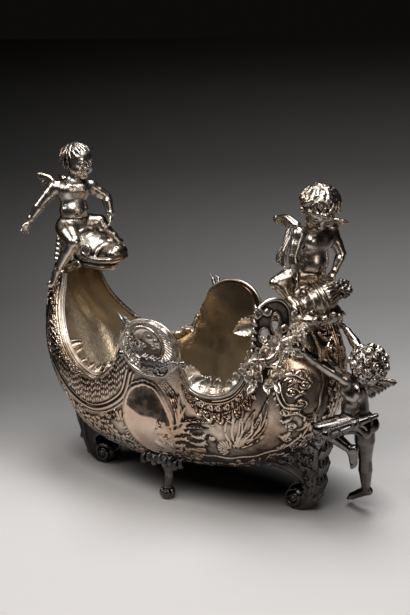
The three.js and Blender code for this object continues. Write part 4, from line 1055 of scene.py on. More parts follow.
def shapeHead(name, f):
    size = f["size"]
    centre, ahead = f["head"], unit(f["look"])
    left = crossed((0, 0, 1), ahead)
    up = crossed(ahead, left)
    axes = (ahead, left, up)

    def p(x, y, z):
        return centre + (ahead * x + left * y + up * z) * size

    def ball(x, y, z, radii, blend=0.0, cut=False):
        clay.ball(p(x, y, z), np.array(radii) * size, axes, blend, cut)

    def tube(line, radii, blend, join=0.6, cut=False):
        clay.tube([p(*q) for q in line], np.array(radii) * size, blend, join, cut)

    clay = Clay(centre - 33 * size, centre + 33 * size, 0.71)
    ball(-3, 0, 4, (19, 17.5, 17))
    ball(3, 0, -5, (14.5, 14.5, 16.5), 5)
    ball(9, 0, 6, (8.8, 12.5, 9), 4)
    ball(12.6, 0, -18, (4.4, 5.2, 4.2), 4)
    for hand in (-1, 1):
        # Cheek, eye socket, eye, its two lids, brow, side of the nose, and ear.
        ball(9.5, hand * 8, -8.5, (7, 6.8, 7), 4)
        ball(19.6, hand * 6.7, -0.4, (3.6, 4.0, 2.5), 2.6, cut=True)
        clay.ball(p(14.8, hand * 6.7, -0.9), 3.3 * size, None, 0.5)
        tube([(16.4, hand * 3.6, -0.2), (18.0, hand * 6.6, 1.5), (15.6, hand * 9.8, -0.4)],
             (0.7, 0.8, 0.6), 0.6)
        tube([(16.4, hand * 3.9, -1.6), (17.2, hand * 6.6, -3.2), (15.4, hand * 9.4, -1.8)],
             (0.5, 0.6, 0.5), 0.8)
        tube([(17.6, hand * 2.6, 3.4), (17.2, hand * 7, 4.6), (14.2, hand * 11, 3.0)],
             (1.0, 1.1, 0.7), 2.0)
        ball(18.6, hand * 2.3, -7.1, (2.2, 1.6, 1.6), 1.0)
        ball(-1.5, hand * 17.0, -3, (3.6, 1.8, 5.4), 1.2)
        ball(-0.6, hand * 18.9, -2.6, (1.8, 1.2, 3.2), 0.8, cut=True)
    # The nose's bridge, the two lips and the line between them, and the neck.
    clay.limb(p(17.3, 0, 1.5), p(20.4, 0, -5.6), 1.7 * size, 2.1 * size, 1.8)
    tube(mirrored([(15.6, 4.2, -12.4), (17.8, 1.5, -11.3), (18.0, 0, -11.7)]), (0.6, 1.2, 0.6), 1.2)
    tube(mirrored([(15.8, 3.4, -13.2), (17.2, 0, -14.3)]), (0.7, 1.4, 0.7), 1.2)
    tube(mirrored([(16.6, 4.0, -12.5), (18.8, 0, -12.9)]), (0.3, 0.4, 0.3), 0.5, 0.2, cut=True)
    clay.limb(p(-3, 0, -12), f["neck"] + (0, 0, 3), 8 * size, 7.4 * size, 4)
    shapeHair(clay, p, axes, size, f["hair"])
    points, faces = clay.mesh()
    x, z = (points - centre) @ ahead / size, (points - centre) @ up / size
    face = smoothStep(5, 11, x) * smoothStep(13, 8, z)
    points = mix(points, softened(points, faces, 9), 0.85 * face[:, None])
    hair = np.maximum(smoothStep(11, 5, x), smoothStep(9, 13, z)) * smoothStep(-16, -8, z)
    relief = reliefOf(points, faces, 12) - hairLooks[f["hair"]]["shade"] * hair
    return addPiece(name + "Head", points, faces, f["metal"], "cast_silver", [name + "_head"],
                    relief=relief)


hairLooks = {
    "swept": {"locks": 34, "width": 1.0, "wave": 0.05, "sweep": 0.6, "tilt": 26, "hairline": (78, 138),
              "flip": 3.0, "shade": 0.36},
    "waves": {"locks": 12, "width": 1.5, "wave": 0.2, "sweep": -0.4, "tilt": 12, "hairline": (68, 130),
              "flip": 0.7, "shade": 0.08},
    "curls": {"shade": -0.05},
}


def shapeHair(clay, p, axes, size, style):
    draw = np.random.default_rng(31)
    ahead, left, up = axes
    if style == "curls":
        for k in range(46):
            z = 1 - 2 * (k + 0.5) / 46
            ring, angle = math.sqrt(1 - z * z), k * goldenAngle
            way = np.array([ring * math.cos(angle), ring * math.sin(angle), z])
            hairline = -0.2 + 0.75 * smoothStep(0.1, 0.8, way[0]) - 1.2 * smoothStep(0.3, -0.4, way[0])
            if way[2] < hairline:
                continue
            outward = unit(ahead * way[0] + left * way[1] + up * way[2])
            radius = draw.uniform(4.4, 6.0) * size
            spot = p(-3.2 + way[0] * 17.8, way[1] * 16.8, 2.2 + way[2] * 16.6)
            clay.ball(spot, radius, None, 0.8)
            first = crossed(outward, unit(draw.normal(size=3)))
            second = crossed(outward, first)
            t = np.linspace(0, 1, 11)[:, None]
            turn = 2 * math.pi * (1.4 * t + draw.uniform())
            flat = radius * (0.92 - 0.72 * t)
            rise = np.sqrt(np.maximum(radius**2 - flat**2, 0.1)) + 0.3
            clay.tube(spot + flat * (np.cos(turn) * first + np.sin(turn) * second) + rise * outward,
                      np.array([1.1, 1.4, 1.2]) * size, 0.4, 0.3)
        return
    look = hairLooks[style]
    tilt = math.radians(look["tilt"])
    crown, fore = up * math.cos(tilt) - ahead * math.sin(tilt), ahead * math.cos(tilt) + up * math.sin(tilt)
    for layer, (share, lift, width) in enumerate(((1.0, 0.6, 2.7), (0.74, 2.2, 2.3), (0.44, 3.0, 1.9))):
        for k in range(look["locks"]):
            turn = 2 * math.pi * (k + 0.5 * layer) / look["locks"]
            front, back = look["hairline"]
            hairline = front + (back - front) * (1 - math.cos(turn)) / 2
            end = math.radians(hairline) * share * draw.uniform(0.92, 1.06)
            t = np.linspace(0, 1, 8)
            around = turn + look["sweep"] * t * math.sin(turn + 0.6) + look["wave"] * np.sin(t * 9 + k)
            polar = (0.12 + (end - 0.12) * t)[:, None]
            level = np.cos(around)[:, None] * fore + np.sin(around)[:, None] * left
            way = np.sin(polar) * level + np.cos(polar) * crown
            fromCentre = way @ ahead * np.where(way @ ahead > 0, 21, 17.6)
            skull = np.stack([fromCentre, way @ left * 17.2, way @ up * 15.0], axis=1)
            raised = lift + 1.0 * (k % 2) + look["flip"] * t**4 * (1.2 - math.cos(turn)) / 2
            reach = skull * (1 + raised[:, None] / 17)
            line = np.array([p(-3.2 + x, y, 3.2 + z) for x, y, z in reach])
            clay.tube(line, np.array([1.3, 2.0, width, 1.7, 0.8]) * size * look["width"], 0.2, 0.35)
            if style == "waves" and layer == 0 and math.cos(turn) > -0.3:
                clay.ball(line[-1], draw.uniform(2.4, 3.2) * size, None, 0.5)


def shapeWing(name, side, root, tip, drop, chord, f):
    size = f["size"]
    drop = unit(drop)
    along = tip - root
    face = crossed(along, drop)
    low, high = np.minimum(root, tip) - chord * 1.1 - 6, np.maximum(root, tip) + chord * 1.1 + 6
    hang = 58 if (name, side) == ("pourer", "right") else 0
    clay = Clay(low - (8, 22, hang), high, 0.84)
    arch = -drop * np.linalg.norm(along) * 0.16
    spine = curve([root, mix(root, tip, 0.5) + arch, tip], 3)
    clay.tube(spine, np.array([4.4, 3.2, 2.0]) * size, 1)
    for share, count, width, lift in ((1.0, 8, 0.18, 0), (0.66, 7, 0.18, 1.0), (0.38, 7, 0.16, 1.9)):
        for k in range(count):
            t = (k + 0.5) / count
            start = spine[int(t * (len(spine) - 1))]
            way = unit(drop * (1.1 - 0.8 * t) + unit(along) * (0.15 + 0.7 * t**2))
            reach = chord * share * (0.65 + 0.4 * math.sin(math.pi * (0.2 + 0.6 * t))) * (1 - 0.3 * t)
            middle = start + way * reach * 0.5
            wide = max(np.linalg.norm(along) * width * 0.75, 3.0)
            for hand in (-1, 1):
                clay.ball(middle + face * hand * lift * 0.7, (reach * 0.56, wide, 1.2),
                          (way, crossed(face, way), face), 0.3)
    for k in range(6 if hang else 0):
        # The cloth that hangs behind the arm.
        top = root + (-6 - 1.8 * k, -2 + 2 * k, -2 - 1.5 * k)
        t = np.linspace(0, 1, 9)[:, None]
        fold = top + t * (-5 - 1.4 * k, -14 + 2 * k, -50 + 2 * k) + np.sin(t * 7 + k) * (1.8, 0.8, 0)
        clay.tube(fold, (2.0, 3.2, 3.8, 3.0), 0, 0.15)
    points, faces = clay.mesh(0)
    return addPiece(name + side.title() + "Wing", points, faces, f["metal"], "cast_silver",
                    [f"{name}_{side}_wing"], 8)


for name, f in figures.items():
    shapeBody(name, f)
    shapeHead(name, f)
    for side, (root, tip, drop, chord) in f["wings"].items():
        shapeWing(name, side, root, tip, drop, chord, f)
    print("figure:", name)


class Growth(Nodes):
    # A Geometry Nodes tree with named inputs, run on a mesh that only carries points or a path.
    def __init__(self, name, inputs):
        self.tree = bpy.data.node_groups.new(name, "GeometryNodeTree")
        kinds = {"Geometry": "NodeSocketGeometry", **inputs}
        for label, kind in kinds.items():
            self.tree.interface.new_socket(name=label, in_out="INPUT", socket_type=kind)
        self.tree.interface.new_socket(name="Geometry", in_out="OUTPUT",
                                       socket_type="NodeSocketGeometry")
        start = self.tree.nodes.new("NodeGroupInput")
        self.inputs = {label: Wire(self, start.outputs[label]) for label in kinds}

    def attribute(self, name, kind):
        return self.node("GeometryNodeInputNamedAttribute", {"data_type": kind}, {"Name": name})

    def finish(self, geometry):
        whole = self.node("GeometryNodeRealizeInstances", {}, {"Geometry": geometry})
        painted = self.node("GeometryNodeSetMaterial", {},
                            {"Geometry": whole, "Material": self.inputs["Material"]})
        end = self.tree.nodes.new("NodeGroupOutput")
        self.tree.links.new(painted.socket, end.inputs["Geometry"])
        return self.tree


def copiesTree():
    # One copy of the template on each point, turned by its outward and along attributes.
    g = Growth("copiesOnPoints",
               {"Template": "NodeSocketObject", "Size": "NodeSocketFloat",
                "Material": "NodeSocketMaterial"})
    turn = g.node("FunctionNodeAxesToRotation", {"primary_axis": "Z", "secondary_axis": "X"},
                  {0: g.attribute("outward", "FLOAT_VECTOR"), 1: g.attribute("along", "FLOAT_VECTOR")})
    scale = g.node("ShaderNodeVectorMath", {"operation": "SCALE"},
                   {0: g.attribute("stretch", "FLOAT_VECTOR"), "Scale": g.inputs["Size"]})
    template = g.node("GeometryNodeObjectInfo", {}, {"Object": g.inputs["Template"]}, "Geometry")
    spots = g.node("GeometryNodeMeshToPoints", {}, {"Mesh": g.inputs["Geometry"]})
    copies = g.node("GeometryNodeInstanceOnPoints", {},
                    {"Points": spots, "Instance": template, "Rotation": turn, "Scale": scale})
    return g.finish(copies)


def railTree():
    # A round rail along a path, as thick as its size attribute says.
    g = Growth("railAlongPath",
               {"Radius": "NodeSocketFloat", "Sides": "NodeSocketInt",
                "Material": "NodeSocketMaterial"})
    line = g.node("GeometryNodeMeshToCurve", {}, {"Mesh": g.inputs["Geometry"]})
    sized = g.node("GeometryNodeSetCurveRadius", {},
                   {"Curve": line, "Radius": g.attribute("size", "FLOAT")})
    ring = g.node("GeometryNodeCurvePrimitiveCircle", {"mode": "RADIUS"},
                  {"Resolution": g.inputs["Sides"], "Radius": g.inputs["Radius"]})
    pipe = g.node("GeometryNodeCurveToMesh", {},
                  {"Curve": sized, "Profile Curve": ring, "Fill Caps": True,
                   "Scale": g.attribute("size", "FLOAT")})
    return g.finish(g.node("GeometryNodeSetShadeSmooth", {}, {"Geometry": pipe}))


growths = {"copies": copiesTree(), "rail": railTree()}


def grown(name, tree, points, edges, attributes, values, metal):
    # Runs a tree on a mesh with these points and edges, and leaves its result as the object's plain mesh.
    mesh = bpy.data.meshes.new(name + "Seed")
    mesh.from_pydata((np.asarray(points) * toMetres).tolist(), edges, [])
    writeAttributes(mesh, attributes)
    seed = added(name, mesh)
    modifier = seed.modifiers.new("growth", "NODES")
    modifier.node_group = tree
    values = {**values, "Material": silver[metal]}
    for socket in tree.interface.items_tree:
        if socket.in_out == "INPUT" and socket.name in values:
            modifier[socket.identifier] = values[socket.name]
    graph = bpy.context.evaluated_depsgraph_get()
    made = bpy.data.meshes.new_from_object(seed.evaluated_get(graph), depsgraph=graph)
    seed.modifiers.remove(modifier)
    seed.data = made
    made.shade_smooth()
    return seed


def copies(name, template, points, outward, along, stretch, metal, slotName, nodes=()):
    stretch = np.asarray(stretch, float)
    if stretch.ndim == 1:
        stretch = np.repeat(stretch[:, None], 3, axis=1)
    attributes = {"outward": outward, "along": along, "stretch": stretch}
    values = {"Template": template, "Size": 1.0}
    return dress(grown(name, growths["copies"], points, [], attributes, values, metal), slotName, nodes)


def rail(name, path, radius, metal, slotName, nodes=()):
    edges = [(k, k + 1) for k in range(len(path) - 1)]
    attributes, values = {"size": np.ones(len(path))}, {"Radius": radius * toMetres, "Sides": 10}
    return dress(grown(name, growths["rail"], path, edges, attributes, values, metal), slotName, nodes)


def template(name, top, under, relief):
    # A small shape of about one millimetre that is only drawn as copies: a grid and its underside.
    faces = np.vstack(slabFaces(*top.shape[:2]))
    points = np.vstack([top.reshape(-1, 3), under.reshape(-1, 3)])
    made = added(name, plainMesh(name, points, faces, relief))
    made.hide_render = made.hide_viewport = True
    return made


def leafTemplate():
    # Root at the origin, tip along x, its face along z, one millimetre long.
    t, s = np.meshgrid(np.linspace(0, 1, 9), np.linspace(-1, 1, 5), indexing="ij")
    ruffle = 1 + 0.22 * np.cos(7 * math.pi * t)
    half = 0.36 * np.sin(math.pi * (0.1 + 0.9 * t) ** 0.85) * ruffle + 0.02
    y, x = s * half, t - 0.12 * np.abs(s) * (1 - t)
    z = 0.14 * np.abs(s) - 0.1 + 0.42 * t**2.2
    top, under = np.stack([x, y, z + 0.05], axis=-1), np.stack([x, y * 0.96, z - 0.07], axis=-1)
    ribs = (np.abs(s) * 1.1 - 0.5 + 0.5 * t).ravel()
    return template("leafShape", top, under, np.concatenate([ribs, np.full(t.size, -0.5)]) * 0.5)


def acanthusTemplate():
    # A broad cupped leaf with a ruffled edge, its root at the origin, its tip along x and its hollow along z.
    t, s = np.meshgrid(np.linspace(0, 1, 15), np.linspace(-1, 1, 11), indexing="ij")
    ruffle = 1 + 0.13 * np.cos(9 * math.pi * t)
    half = 0.42 * np.sin(math.pi * (0.16 + 0.80 * t) ** 0.9) ** 0.7 * ruffle
    y = s * half
    x = t - 0.16 * s**2 * t + 0.03 * np.cos(3 * math.pi * s) * t
    z = 0.24 * s**2 * (1 - 0.5 * t) - 0.14 + 0.2 * t**2.4 + 0.018 * np.cos(5 * math.pi * s) * (0.4 + t)
    top, under = np.stack([x, y, z + 0.045], axis=-1), np.stack([x, y * 0.98, z - 0.055], axis=-1)
    ribs = (0.45 * np.cos(5 * math.pi * s) + 0.3 * t + 0.45).ravel()
    return template("acanthusShape", top, under, np.concatenate([ribs, ribs * 0.6]) * 0.5)


def flowerTemplate():
    # A round flower of five petals with a dip around its middle.
    lobes, depth, dish = 5, 0.35, 0.15
    r, a = np.meshgrid(np.linspace(0.04, 1, 6), np.linspace(0, 2 * math.pi, 21), indexing="ij")
    reach = r * (1 + 0.24 * np.cos(lobes * a) * r)
    dip = dish * np.sin(math.pi * np.clip(r * 1.3, 0, 1)) ** 2
    z = depth * np.sqrt(np.maximum(1 - r**2 * 0.98, 0)) - dip
    z = z - 0.16 * r * (1 - np.cos(lobes * a)) + 0.22 * (r > 0.5) * r
    top = np.stack([reach * np.cos(a), reach * np.sin(a), z], axis=-1)
    under = top.copy()
    under[..., 2] = np.minimum(z - 0.08, -0.25)
    relief = (z - z.mean()).ravel() * 0.9
    return template("flowerShape", top, under, np.concatenate([relief, relief * 0 - 0.5]))


leafShape, acanthusShape, flowerShape = leafTemplate(), acanthusTemplate(), flowerTemplate()
print("growths ready")


def rimFrames(start, end, side, count):
    u = np.linspace(start, end, count)
    point, normal = bowlPoint(u, 1, side), bowlNormal(u, np.ones(count), side)
    tangent = bowlPoint(u + 0.05, 1, side) - bowlPoint(u - 0.05, 1, side)
    tangent /= np.linalg.norm(tangent, axis=1, keepdims=True)
    beyond = np.cross(tangent, normal) * side
    beyond /= np.linalg.norm(beyond, axis=1, keepdims=True)
    return point - normal * bowlSizes["wall"] / 2, normal, tangent, beyond


# Each leaf has its frame along the rim, its length and how far it leans along the rim.
rimLooks = {
    "prow": {
        "span": (0.3, 7.1), "metal": "castSilver", "breadth": -1,
        "leaves": [(3.1, 20, 0.3), (3.5, 15, -0.3), (3.9, 14, 0.3), (4.35, 15, 0.2), (4.75, 18, 0.3),
                   (5.1, 20, -0.2), (5.45, 23, 0.1), (5.75, 19, -0.3), (6.05, 21, 0.2),
                   (6.4, 21, -0.1), (6.8, 15, 0.3)]},
    "waist": {
        "span": (12.6, 18.2), "metal": "cleanLitSilver", "breadth": 8,
        "leaves": [(12.85, 30, 0.5), (13.3, 24, 0.6), (13.9, 21, 0.2), (14.6, 22, 0.1),
                   (15.3, 21, 0.1), (16.0, 15, 0.3), (16.6, 16, 0.5)]},
}
# Rails along the rim: how far above it and outside it they run, and their radius.
rimRails = {"Moulding": (2.6, 1.6, 2.7), "Fillet": (0.4, 3.4, 1.3), "Lip": (4.6, 0.2, 1.3 * 1.2)}


def makeRim(place, side, word, suffix):
    look, name, count = rimLooks[place], place + "Rim" + word, 90
    start, end = look["span"]
    point, normal, tangent, beyond = rimFrames(start, end, side, count)
    for label, (above, outside, radius) in rimRails.items():
        nodes = [place + "_rim" + suffix] if label == "Moulding" else []
        rail(name + label, point + beyond * above + normal * outside, radius, "castSilver",
             "cast_silver", nodes)
    at, length, lean = np.array(look["leaves"]).T
    pick = np.clip(np.round((at - start) / (end - start) * (count - 1)).astype(int), 0, count - 1)
    out, up = normal[pick], beyond[pick]
    way = up + tangent[pick] * lean[:, None] - out * 0.7
    stretch = np.stack([length * 1.1, length * 0.8 + look["breadth"], length * 0.9], axis=1)
    roots, faced = point[pick] + up * 3.4, out + up * 0.75
    copies(name + "Leaves", acanthusShape, roots, faced, way, stretch, look["metal"], "cast_silver")


for names in bothSides:
    for place in rimLooks:
        makeRim(place, *names)
print("rims done")

roundelLook = {"width": 92, "height": 78, "lean": 0.13}


def carveRoundel():
    # A rocaille medallion, drawn flat: x towards the stern, y up.
    c = Carving((-50, -44), (50, 44), 0.4)
    middle = np.array([-4, 6])
    ring = spiral(middle, 0, 25, 1, 1, 60)
    c.stroke(ring, 1.7, 4.2)
    c.stroke(mix(middle, ring, 0.86), 0.8, 2.4)
    for a in np.radians(np.linspace(-62, 128, 25)):
        inner, outer = (-2, 5) + heading(a) * (28, 27), (1, 1) + heading(a - 0.22) * (43, 36)
        c.stroke(curve([inner, mix(inner, outer, 0.5) + (1.5, 1.5), outer], 2), 2.4, 3.4,
                 (0.8, 1.1), flat=0.8)
    c.stroke(spiral((0, 1), -75, 44, 0.63, 0.97, 40) * (1, 0.86), 1.8, 5.2)
    c.stroke(spiral((-2, 1), 130, 43, 0.38, 1, 40) * (1, 0.86), 1.9, 4.6)
    c.stroke(spiral((-2, 1), 140, 37, 0.30, 1, 40) * (1, 0.86), 1.2, 3.0)
    for k in range(9):
        c.leaf((-16, 4), (-16, 4) + 12.5 * heading(math.radians(118 + 26 * k)), 2.8, 4.4, 0.25)
    c.dome((-16, 4), 3.4, 6.0)
    for centre, radius, turns in (((-24, -16), 8.5, -1.4), ((-33, -4), 5, 1.3), ((-8, -24), 7, 1.4),
                                  ((-30, 16), 5.5, -1.2)):
        c.scroll(centre, 60, radius, turns, 1.5, 4.2)
    for k in range(6):
        c.leaf((-20 + 7 * k, -30 + abs(k - 2)), (-14 + 8 * k, -21 + 1.5 * k), 2.6, 4.0, -0.2)
    c.dome((5, 8), (17, 17), 1.6, 0.8)
    c.dome((2, 13), 7, 4.2, 0.9)
    c.dome((11, 9), 6, 4.0, 0.9)
    c.dome((6, 1), 5, 3.6, 0.9)
    for radius in (4, 8, 12, 16):
        c.stroke(spiral((-14, -16), 170, radius, 0.42, 1, 20), 1.2, 3.6 - 0.1 * radius)
    return c


def makeRoundel(side, word, suffix):
    width, height, lean = roundelLook["width"], roundelLook["height"], roundelLook["lean"]
    top = bowlFrames[10, 2:5]
    rise = np.array([0, side * math.sin(lean), math.cos(lean)])
    outward = np.array([0, side * math.cos(lean), -math.sin(lean)])
    centre = np.array([top[0] + shift, side * (top[1] - height / 2 * math.sin(lean) + 1.6),
                       top[2] + 4 - height / 2])

    def at(x, y, z):
        return centre + np.array([x, 0, 0]) + rise * y + outward * z

    rings, around = 80, 301
    r, a = np.meshgrid(np.linspace(0.01, 1, rings) ** 0.8, np.linspace(0, 2 * math.pi, around),
                       indexing="ij")
    lobed = 1 - 0.025 * (1 + np.cos(11 * a)) * (r > 0.85)
    x, y = r * lobed * width / 2 * np.cos(a), r * lobed * height / 2 * np.sin(a)
    hollow, swell = np.clip(r / 0.62, 0, 1) * math.pi / 2, np.clip((r - 0.6) / 0.4, 0, 1) * math.pi
    dish = 1.2 - 2.2 * np.cos(hollow) + 1.6 * np.sin(swell)
    flat = centre + x[..., None] * eastward + y[..., None] * rise
    front = (flat + (carveRoundel().at(x, y) + dish + 2.0)[..., None] * outward).reshape(-1, 3)
    back = (flat + (dish - 0.4)[..., None] * outward).reshape(-1, 3)
    outside, inside = slabFaces(rings, around)
    faces = np.vstack([outside, inside])[:, ::side]
    relief = np.zeros(2 * x.size)
    relief[:x.size] = reliefOf(front, gridFaces(rings, around, flip=side == near), 8) + 0.1
    relief[:x.size] -= 0.4 * smoothStep(18, 13, np.hypot(x + 17, y - 3).ravel())
    skins = keptOutside(np.concatenate([front, back]), 0.8)
    sharpen(addPiece("roundel" + word, skins, faces, "cleanLitSilver", "cast_silver", ["roundel" + suffix],
                     relief=relief, second=(len(outside), gilt)))
    edge = [at(45.5 * math.cos(t), 38.5 * math.sin(t), 1.2) for t in np.linspace(0, 2 * math.pi, 90)]
    rail("roundelEdge" + word, keptOutside(np.array(edge), 0.0), 1.7, "cleanLitSilver", "cast_silver")

    clay = Clay(centre - 62, centre + 66, 0.9)
    clay.tube([at(-34, 26, 3), at(-38, 34, 4), at(-43, 42, 3)], (3.2, 2.6, 0.9), 1.5)
    clay.tube([at(-28, 30, 3), at(-30, 37, 5), at(-35, 40, 4)], (2.6, 2, 0.9), 1.5)
    clay.ball(at(-42, -14, 5), 5.4).limb(at(-42, -14, 2), at(-38, -26, 2), 3, 2, 2)
    draw = np.random.default_rng(9)
    for k in range(15):
        t = k / 14
        spine = at(-8 + 58 * t, -18 + 5 * t + 1.5 * math.sin(k * 2.3), 6 + 3 * math.sin(t * math.pi))
        clay.ball(spine, 6.2 - 3.8 * t, None, 1.0)
        drop = (17 - 14 * t) * draw.uniform(0.8, 1.15)
        low = [spine + outward * 2, spine - rise * drop * 0.5 + outward * (4 - 2 * t),
               spine - rise * drop + eastward * (-4 + 3 * t)]
        clay.tube(low, (3.4 - 1.6 * t, 3.2 - 1.6 * t, 1.3), 0.7)
        high = [spine + outward * 3, spine + rise * drop * 0.3 + outward * 3, spine + rise * drop
                * 0.55 + (4, 0, 0)]
        clay.tube(high, (2.4 - 0.8 * t, 2.2 - 0.8 * t, 1.0), 0.7)
    clay.tube([at(48, -13, 7), at(54, -13, 6), at(60, -15, 4)], (3, 2.2, 0.9), 1.5)
    leaf = [at(4, -26, 7), at(12, -34, 9), at(24, -34, 8), at(30, -27, 7), at(33, -20, 6)]
    clay.tube(curve(leaf, 3), (1.2, 3.2, 3.4, 3.0, 2.0), 1.5)
    clay.curl(at(10, -29, 9), 5.5, 1.3, (1.9, 1.5), 1.0, rise, eastward)
    points, faces = clay.mesh()
    addPiece("roundelShell" + word, keptOutside(points), faces, "darkSilver", "cast_silver",
             ["roundel_shell" + suffix], 8)


def outlineDistance(corners, x, y):
    best = np.full(np.broadcast(x, y).shape, 1e6)
    for a, b in zip(corners, np.roll(corners, -1, axis=0)):
        line = b - a
        t = np.clip(((x - a[0]) * line[0] + (y - a[1]) * line[1]) / max(line @ line, 1e-6), 0, 1)
        best = np.minimum(best, (x - a[0] - t * line[0]) ** 2 + (y - a[1] - t * line[1]) ** 2)
    return np.where(polygonMask(corners, x, y), -1, 1) * np.sqrt(best)


def shapePlate(clay, corners, holes, origin, first, second, thickness, rounding):
    # A flat plate with an outline and holes in the plane of two directions, with rounded edges.
    origin, first, second = np.array(origin, float), unit(first), unit(second)
    across, depths, step = np.cross(first, second), (-thickness / 2, thickness / 2), 0.7
    span = np.array([origin + first * p[0] + second * p[1] + across * t for p in corners
                     for t in depths])
    low, high = corners.min(0) - 4, corners.max(0) + 4
    cells = [np.arange(low[k], high[k], step) for k in (0, 1)]
    flat = outlineDistance(corners, cells[0][:, None], cells[1][None, :])
    for hole in holes:
        flat = np.maximum(flat, -outlineDistance(hole, cells[0][:, None], cells[1][None, :]))

    def distance(x, y, z):
        x, y, z = x - origin[0], y - origin[1], z - origin[2]
        a, b, n = (v[0] * x + v[1] * y + v[2] * z for v in (first, second, across))
        fa = np.clip((a - low[0]) / step, 0, len(cells[0]) - 1.001)
        fb = np.clip((b - low[1]) / step, 0, len(cells[1]) - 1.001)
        i, j = fa.astype(int), fb.astype(int)
        u, v = fa - i, fb - j
        below, above = (flat[i, k] * (1 - u) + flat[i + 1, k] * u for k in (j, j + 1))
        q0, q1 = below * (1 - v) + above * v + rounding, np.abs(n) - thickness / 2 + rounding
        outside = np.sqrt(np.maximum(q0, 0) ** 2 + np.maximum(q1, 0) ** 2)
        return outside + np.minimum(np.maximum(q0, q1), 0) - rounding

    return clay.merge(span.min(0), span.max(0), distance, 0.0, False)


# Outline, holes and curls in shares of the width and the height. A hole is (x, z, half width, half height)
# and a curl is (x, z, radius in millimetres, turns).
sternScrollLook = {
    "width": 50, "height": 80, "thickness": 5, "turned": 0.9,
    "outline": [(0, 0.02), (-0.02, 0.3), (0.03, 0.62), (0.18, 0.9), (0.45, 1), (0.8, 0.97), (1, 0.8),
                (0.98, 0.45), (0.8, 0.3), (0.5, 0.14), (0.25, -0.02), (0, 0.02)],
    "holes": [(0.3, 0.44, 0.14, 0.12), (0.62, 0.62, 0.12, 0.17)],
    "curls": [(0.14, 0.8, 7, 1.5), (0.5, 0.3, 6.5, -1.4), (0.85, 0.5, 6, 1.4), (0.12, 0.2, 6, -1.3),
              (0.38, 0.82, 5, -1.3)],
}


def makeSternScroll(side, word, suffix):
    look = sternScrollLook
    width, height, turned = look["width"], look["height"], look["turned"]
    base = bowlFrames[18, 2:5]
    origin = np.array([base[0] + 4 + shift, side * (base[1] - 3), base[2] - 1])
    first, up = np.array([math.cos(turned), -side * math.sin(turned), 0]), upward
    facing = np.cross(first, up) * -side
    outline = curve(look["outline"], 0.04) * (width, height)
    t = np.linspace(0, 2 * math.pi, 25)[:-1]
    holes = [np.stack([(cx + rx * np.cos(t)) * width, (cz + rz * np.sin(t)) * height], axis=1)
             for cx, cz, rx, rz in look["holes"]]
    clay = Clay(origin - (12, 60, 8), origin + (50, 60, 90), 0.96)
    shapePlate(clay, outline, holes, origin, first, up, look["thickness"], 1.6)

    def at(x, z, out=0.0):
        return origin + first * x * width + up * z * height + facing * out

    for ring, radius in ((outline, 2.2), (holes[0], 1.7), (holes[1], 1.8)):
        loop = np.vstack([ring, ring[:1]])
        clay.tube([origin + first * q[0] + up * q[1] + facing * 1.6 for q in loop],
                  (radius, radius), 0.8)
    for cx, cz, radius, turns in look["curls"]:
        clay.curl(at(cx, cz, 3.2), radius, turns, (2.0, 1.5), 0.8, first, up)
    for k in range(7):
        t = k / 6
        root = at(0.02 + 0.1 * t, 0.15 + 0.7 * t, 2)
        clay.tube([root, root + (facing * 2 + up * 4 - first * 3), root + (up * 8 - first * 4)],
                  (2.4, 2.0, 0.8), 1.0)
    points, faces = clay.mesh()
    relief = reliefOf(points, faces, 8) * 1.5 - 0.34
    addPiece("sternScroll" + word, points, faces, "castSilver", "cast_silver",
             ["stern_scroll" + suffix], relief=relief)


def shapeBracket(clay, outline, scroll, width, veins, leafRows):
    # A foot with a volute at its heel, veins on its two faces and leaves on its back. Its width is along y.
    middle, half = np.array([scroll[0], 0, scroll[1]]), width / 2
    first, second = np.array([0.2, 0, 1]), np.array([-1, 0, 0.2])
    shapePlate(clay, outline, [], (0, 0, 0), (1, 0, 0), (0, 0, 1), width, 3.0)
    clay.limb(middle - (0, half - 15, 0), middle + (0, half - 15, 0), 15.6, 15.6, 2)
    for hand in (-1, 1):
        face = np.array([0, hand * half, 0])
        clay.curl(middle + (0, 0, 0.6) + face, 13.8, 1.6, (1.9, 2.2), 0.8, first, second)
        clay.ball(middle + face * 1.03, (5, 4, 5), None, 1)
        for path in veins:
            clay.tube(curve([(x, hand * (half - 0.3), z) for x, z in path], 3), (1.0, 1.9, 1.0), 0.8)
    for x, z, way in leafRows:
        for k in (-1, 0, 1):
            root = np.array([x, k * width * 0.29, z])
            tip = root + np.array([way[0], k * 1.5, way[1]])
            bulge = unit((way[1], 0, -way[0])) * 3.2
            clay.tube([root, mix(root, tip, 0.5) + bulge, tip + bulge * 0.6], (5.2, 4.2, 1.4), 1.2)


def pressFlat(points):
    # Everything below the ground is pressed into the sole.
    points[:, 2] = np.maximum(points[:, 2], 0)
    return points


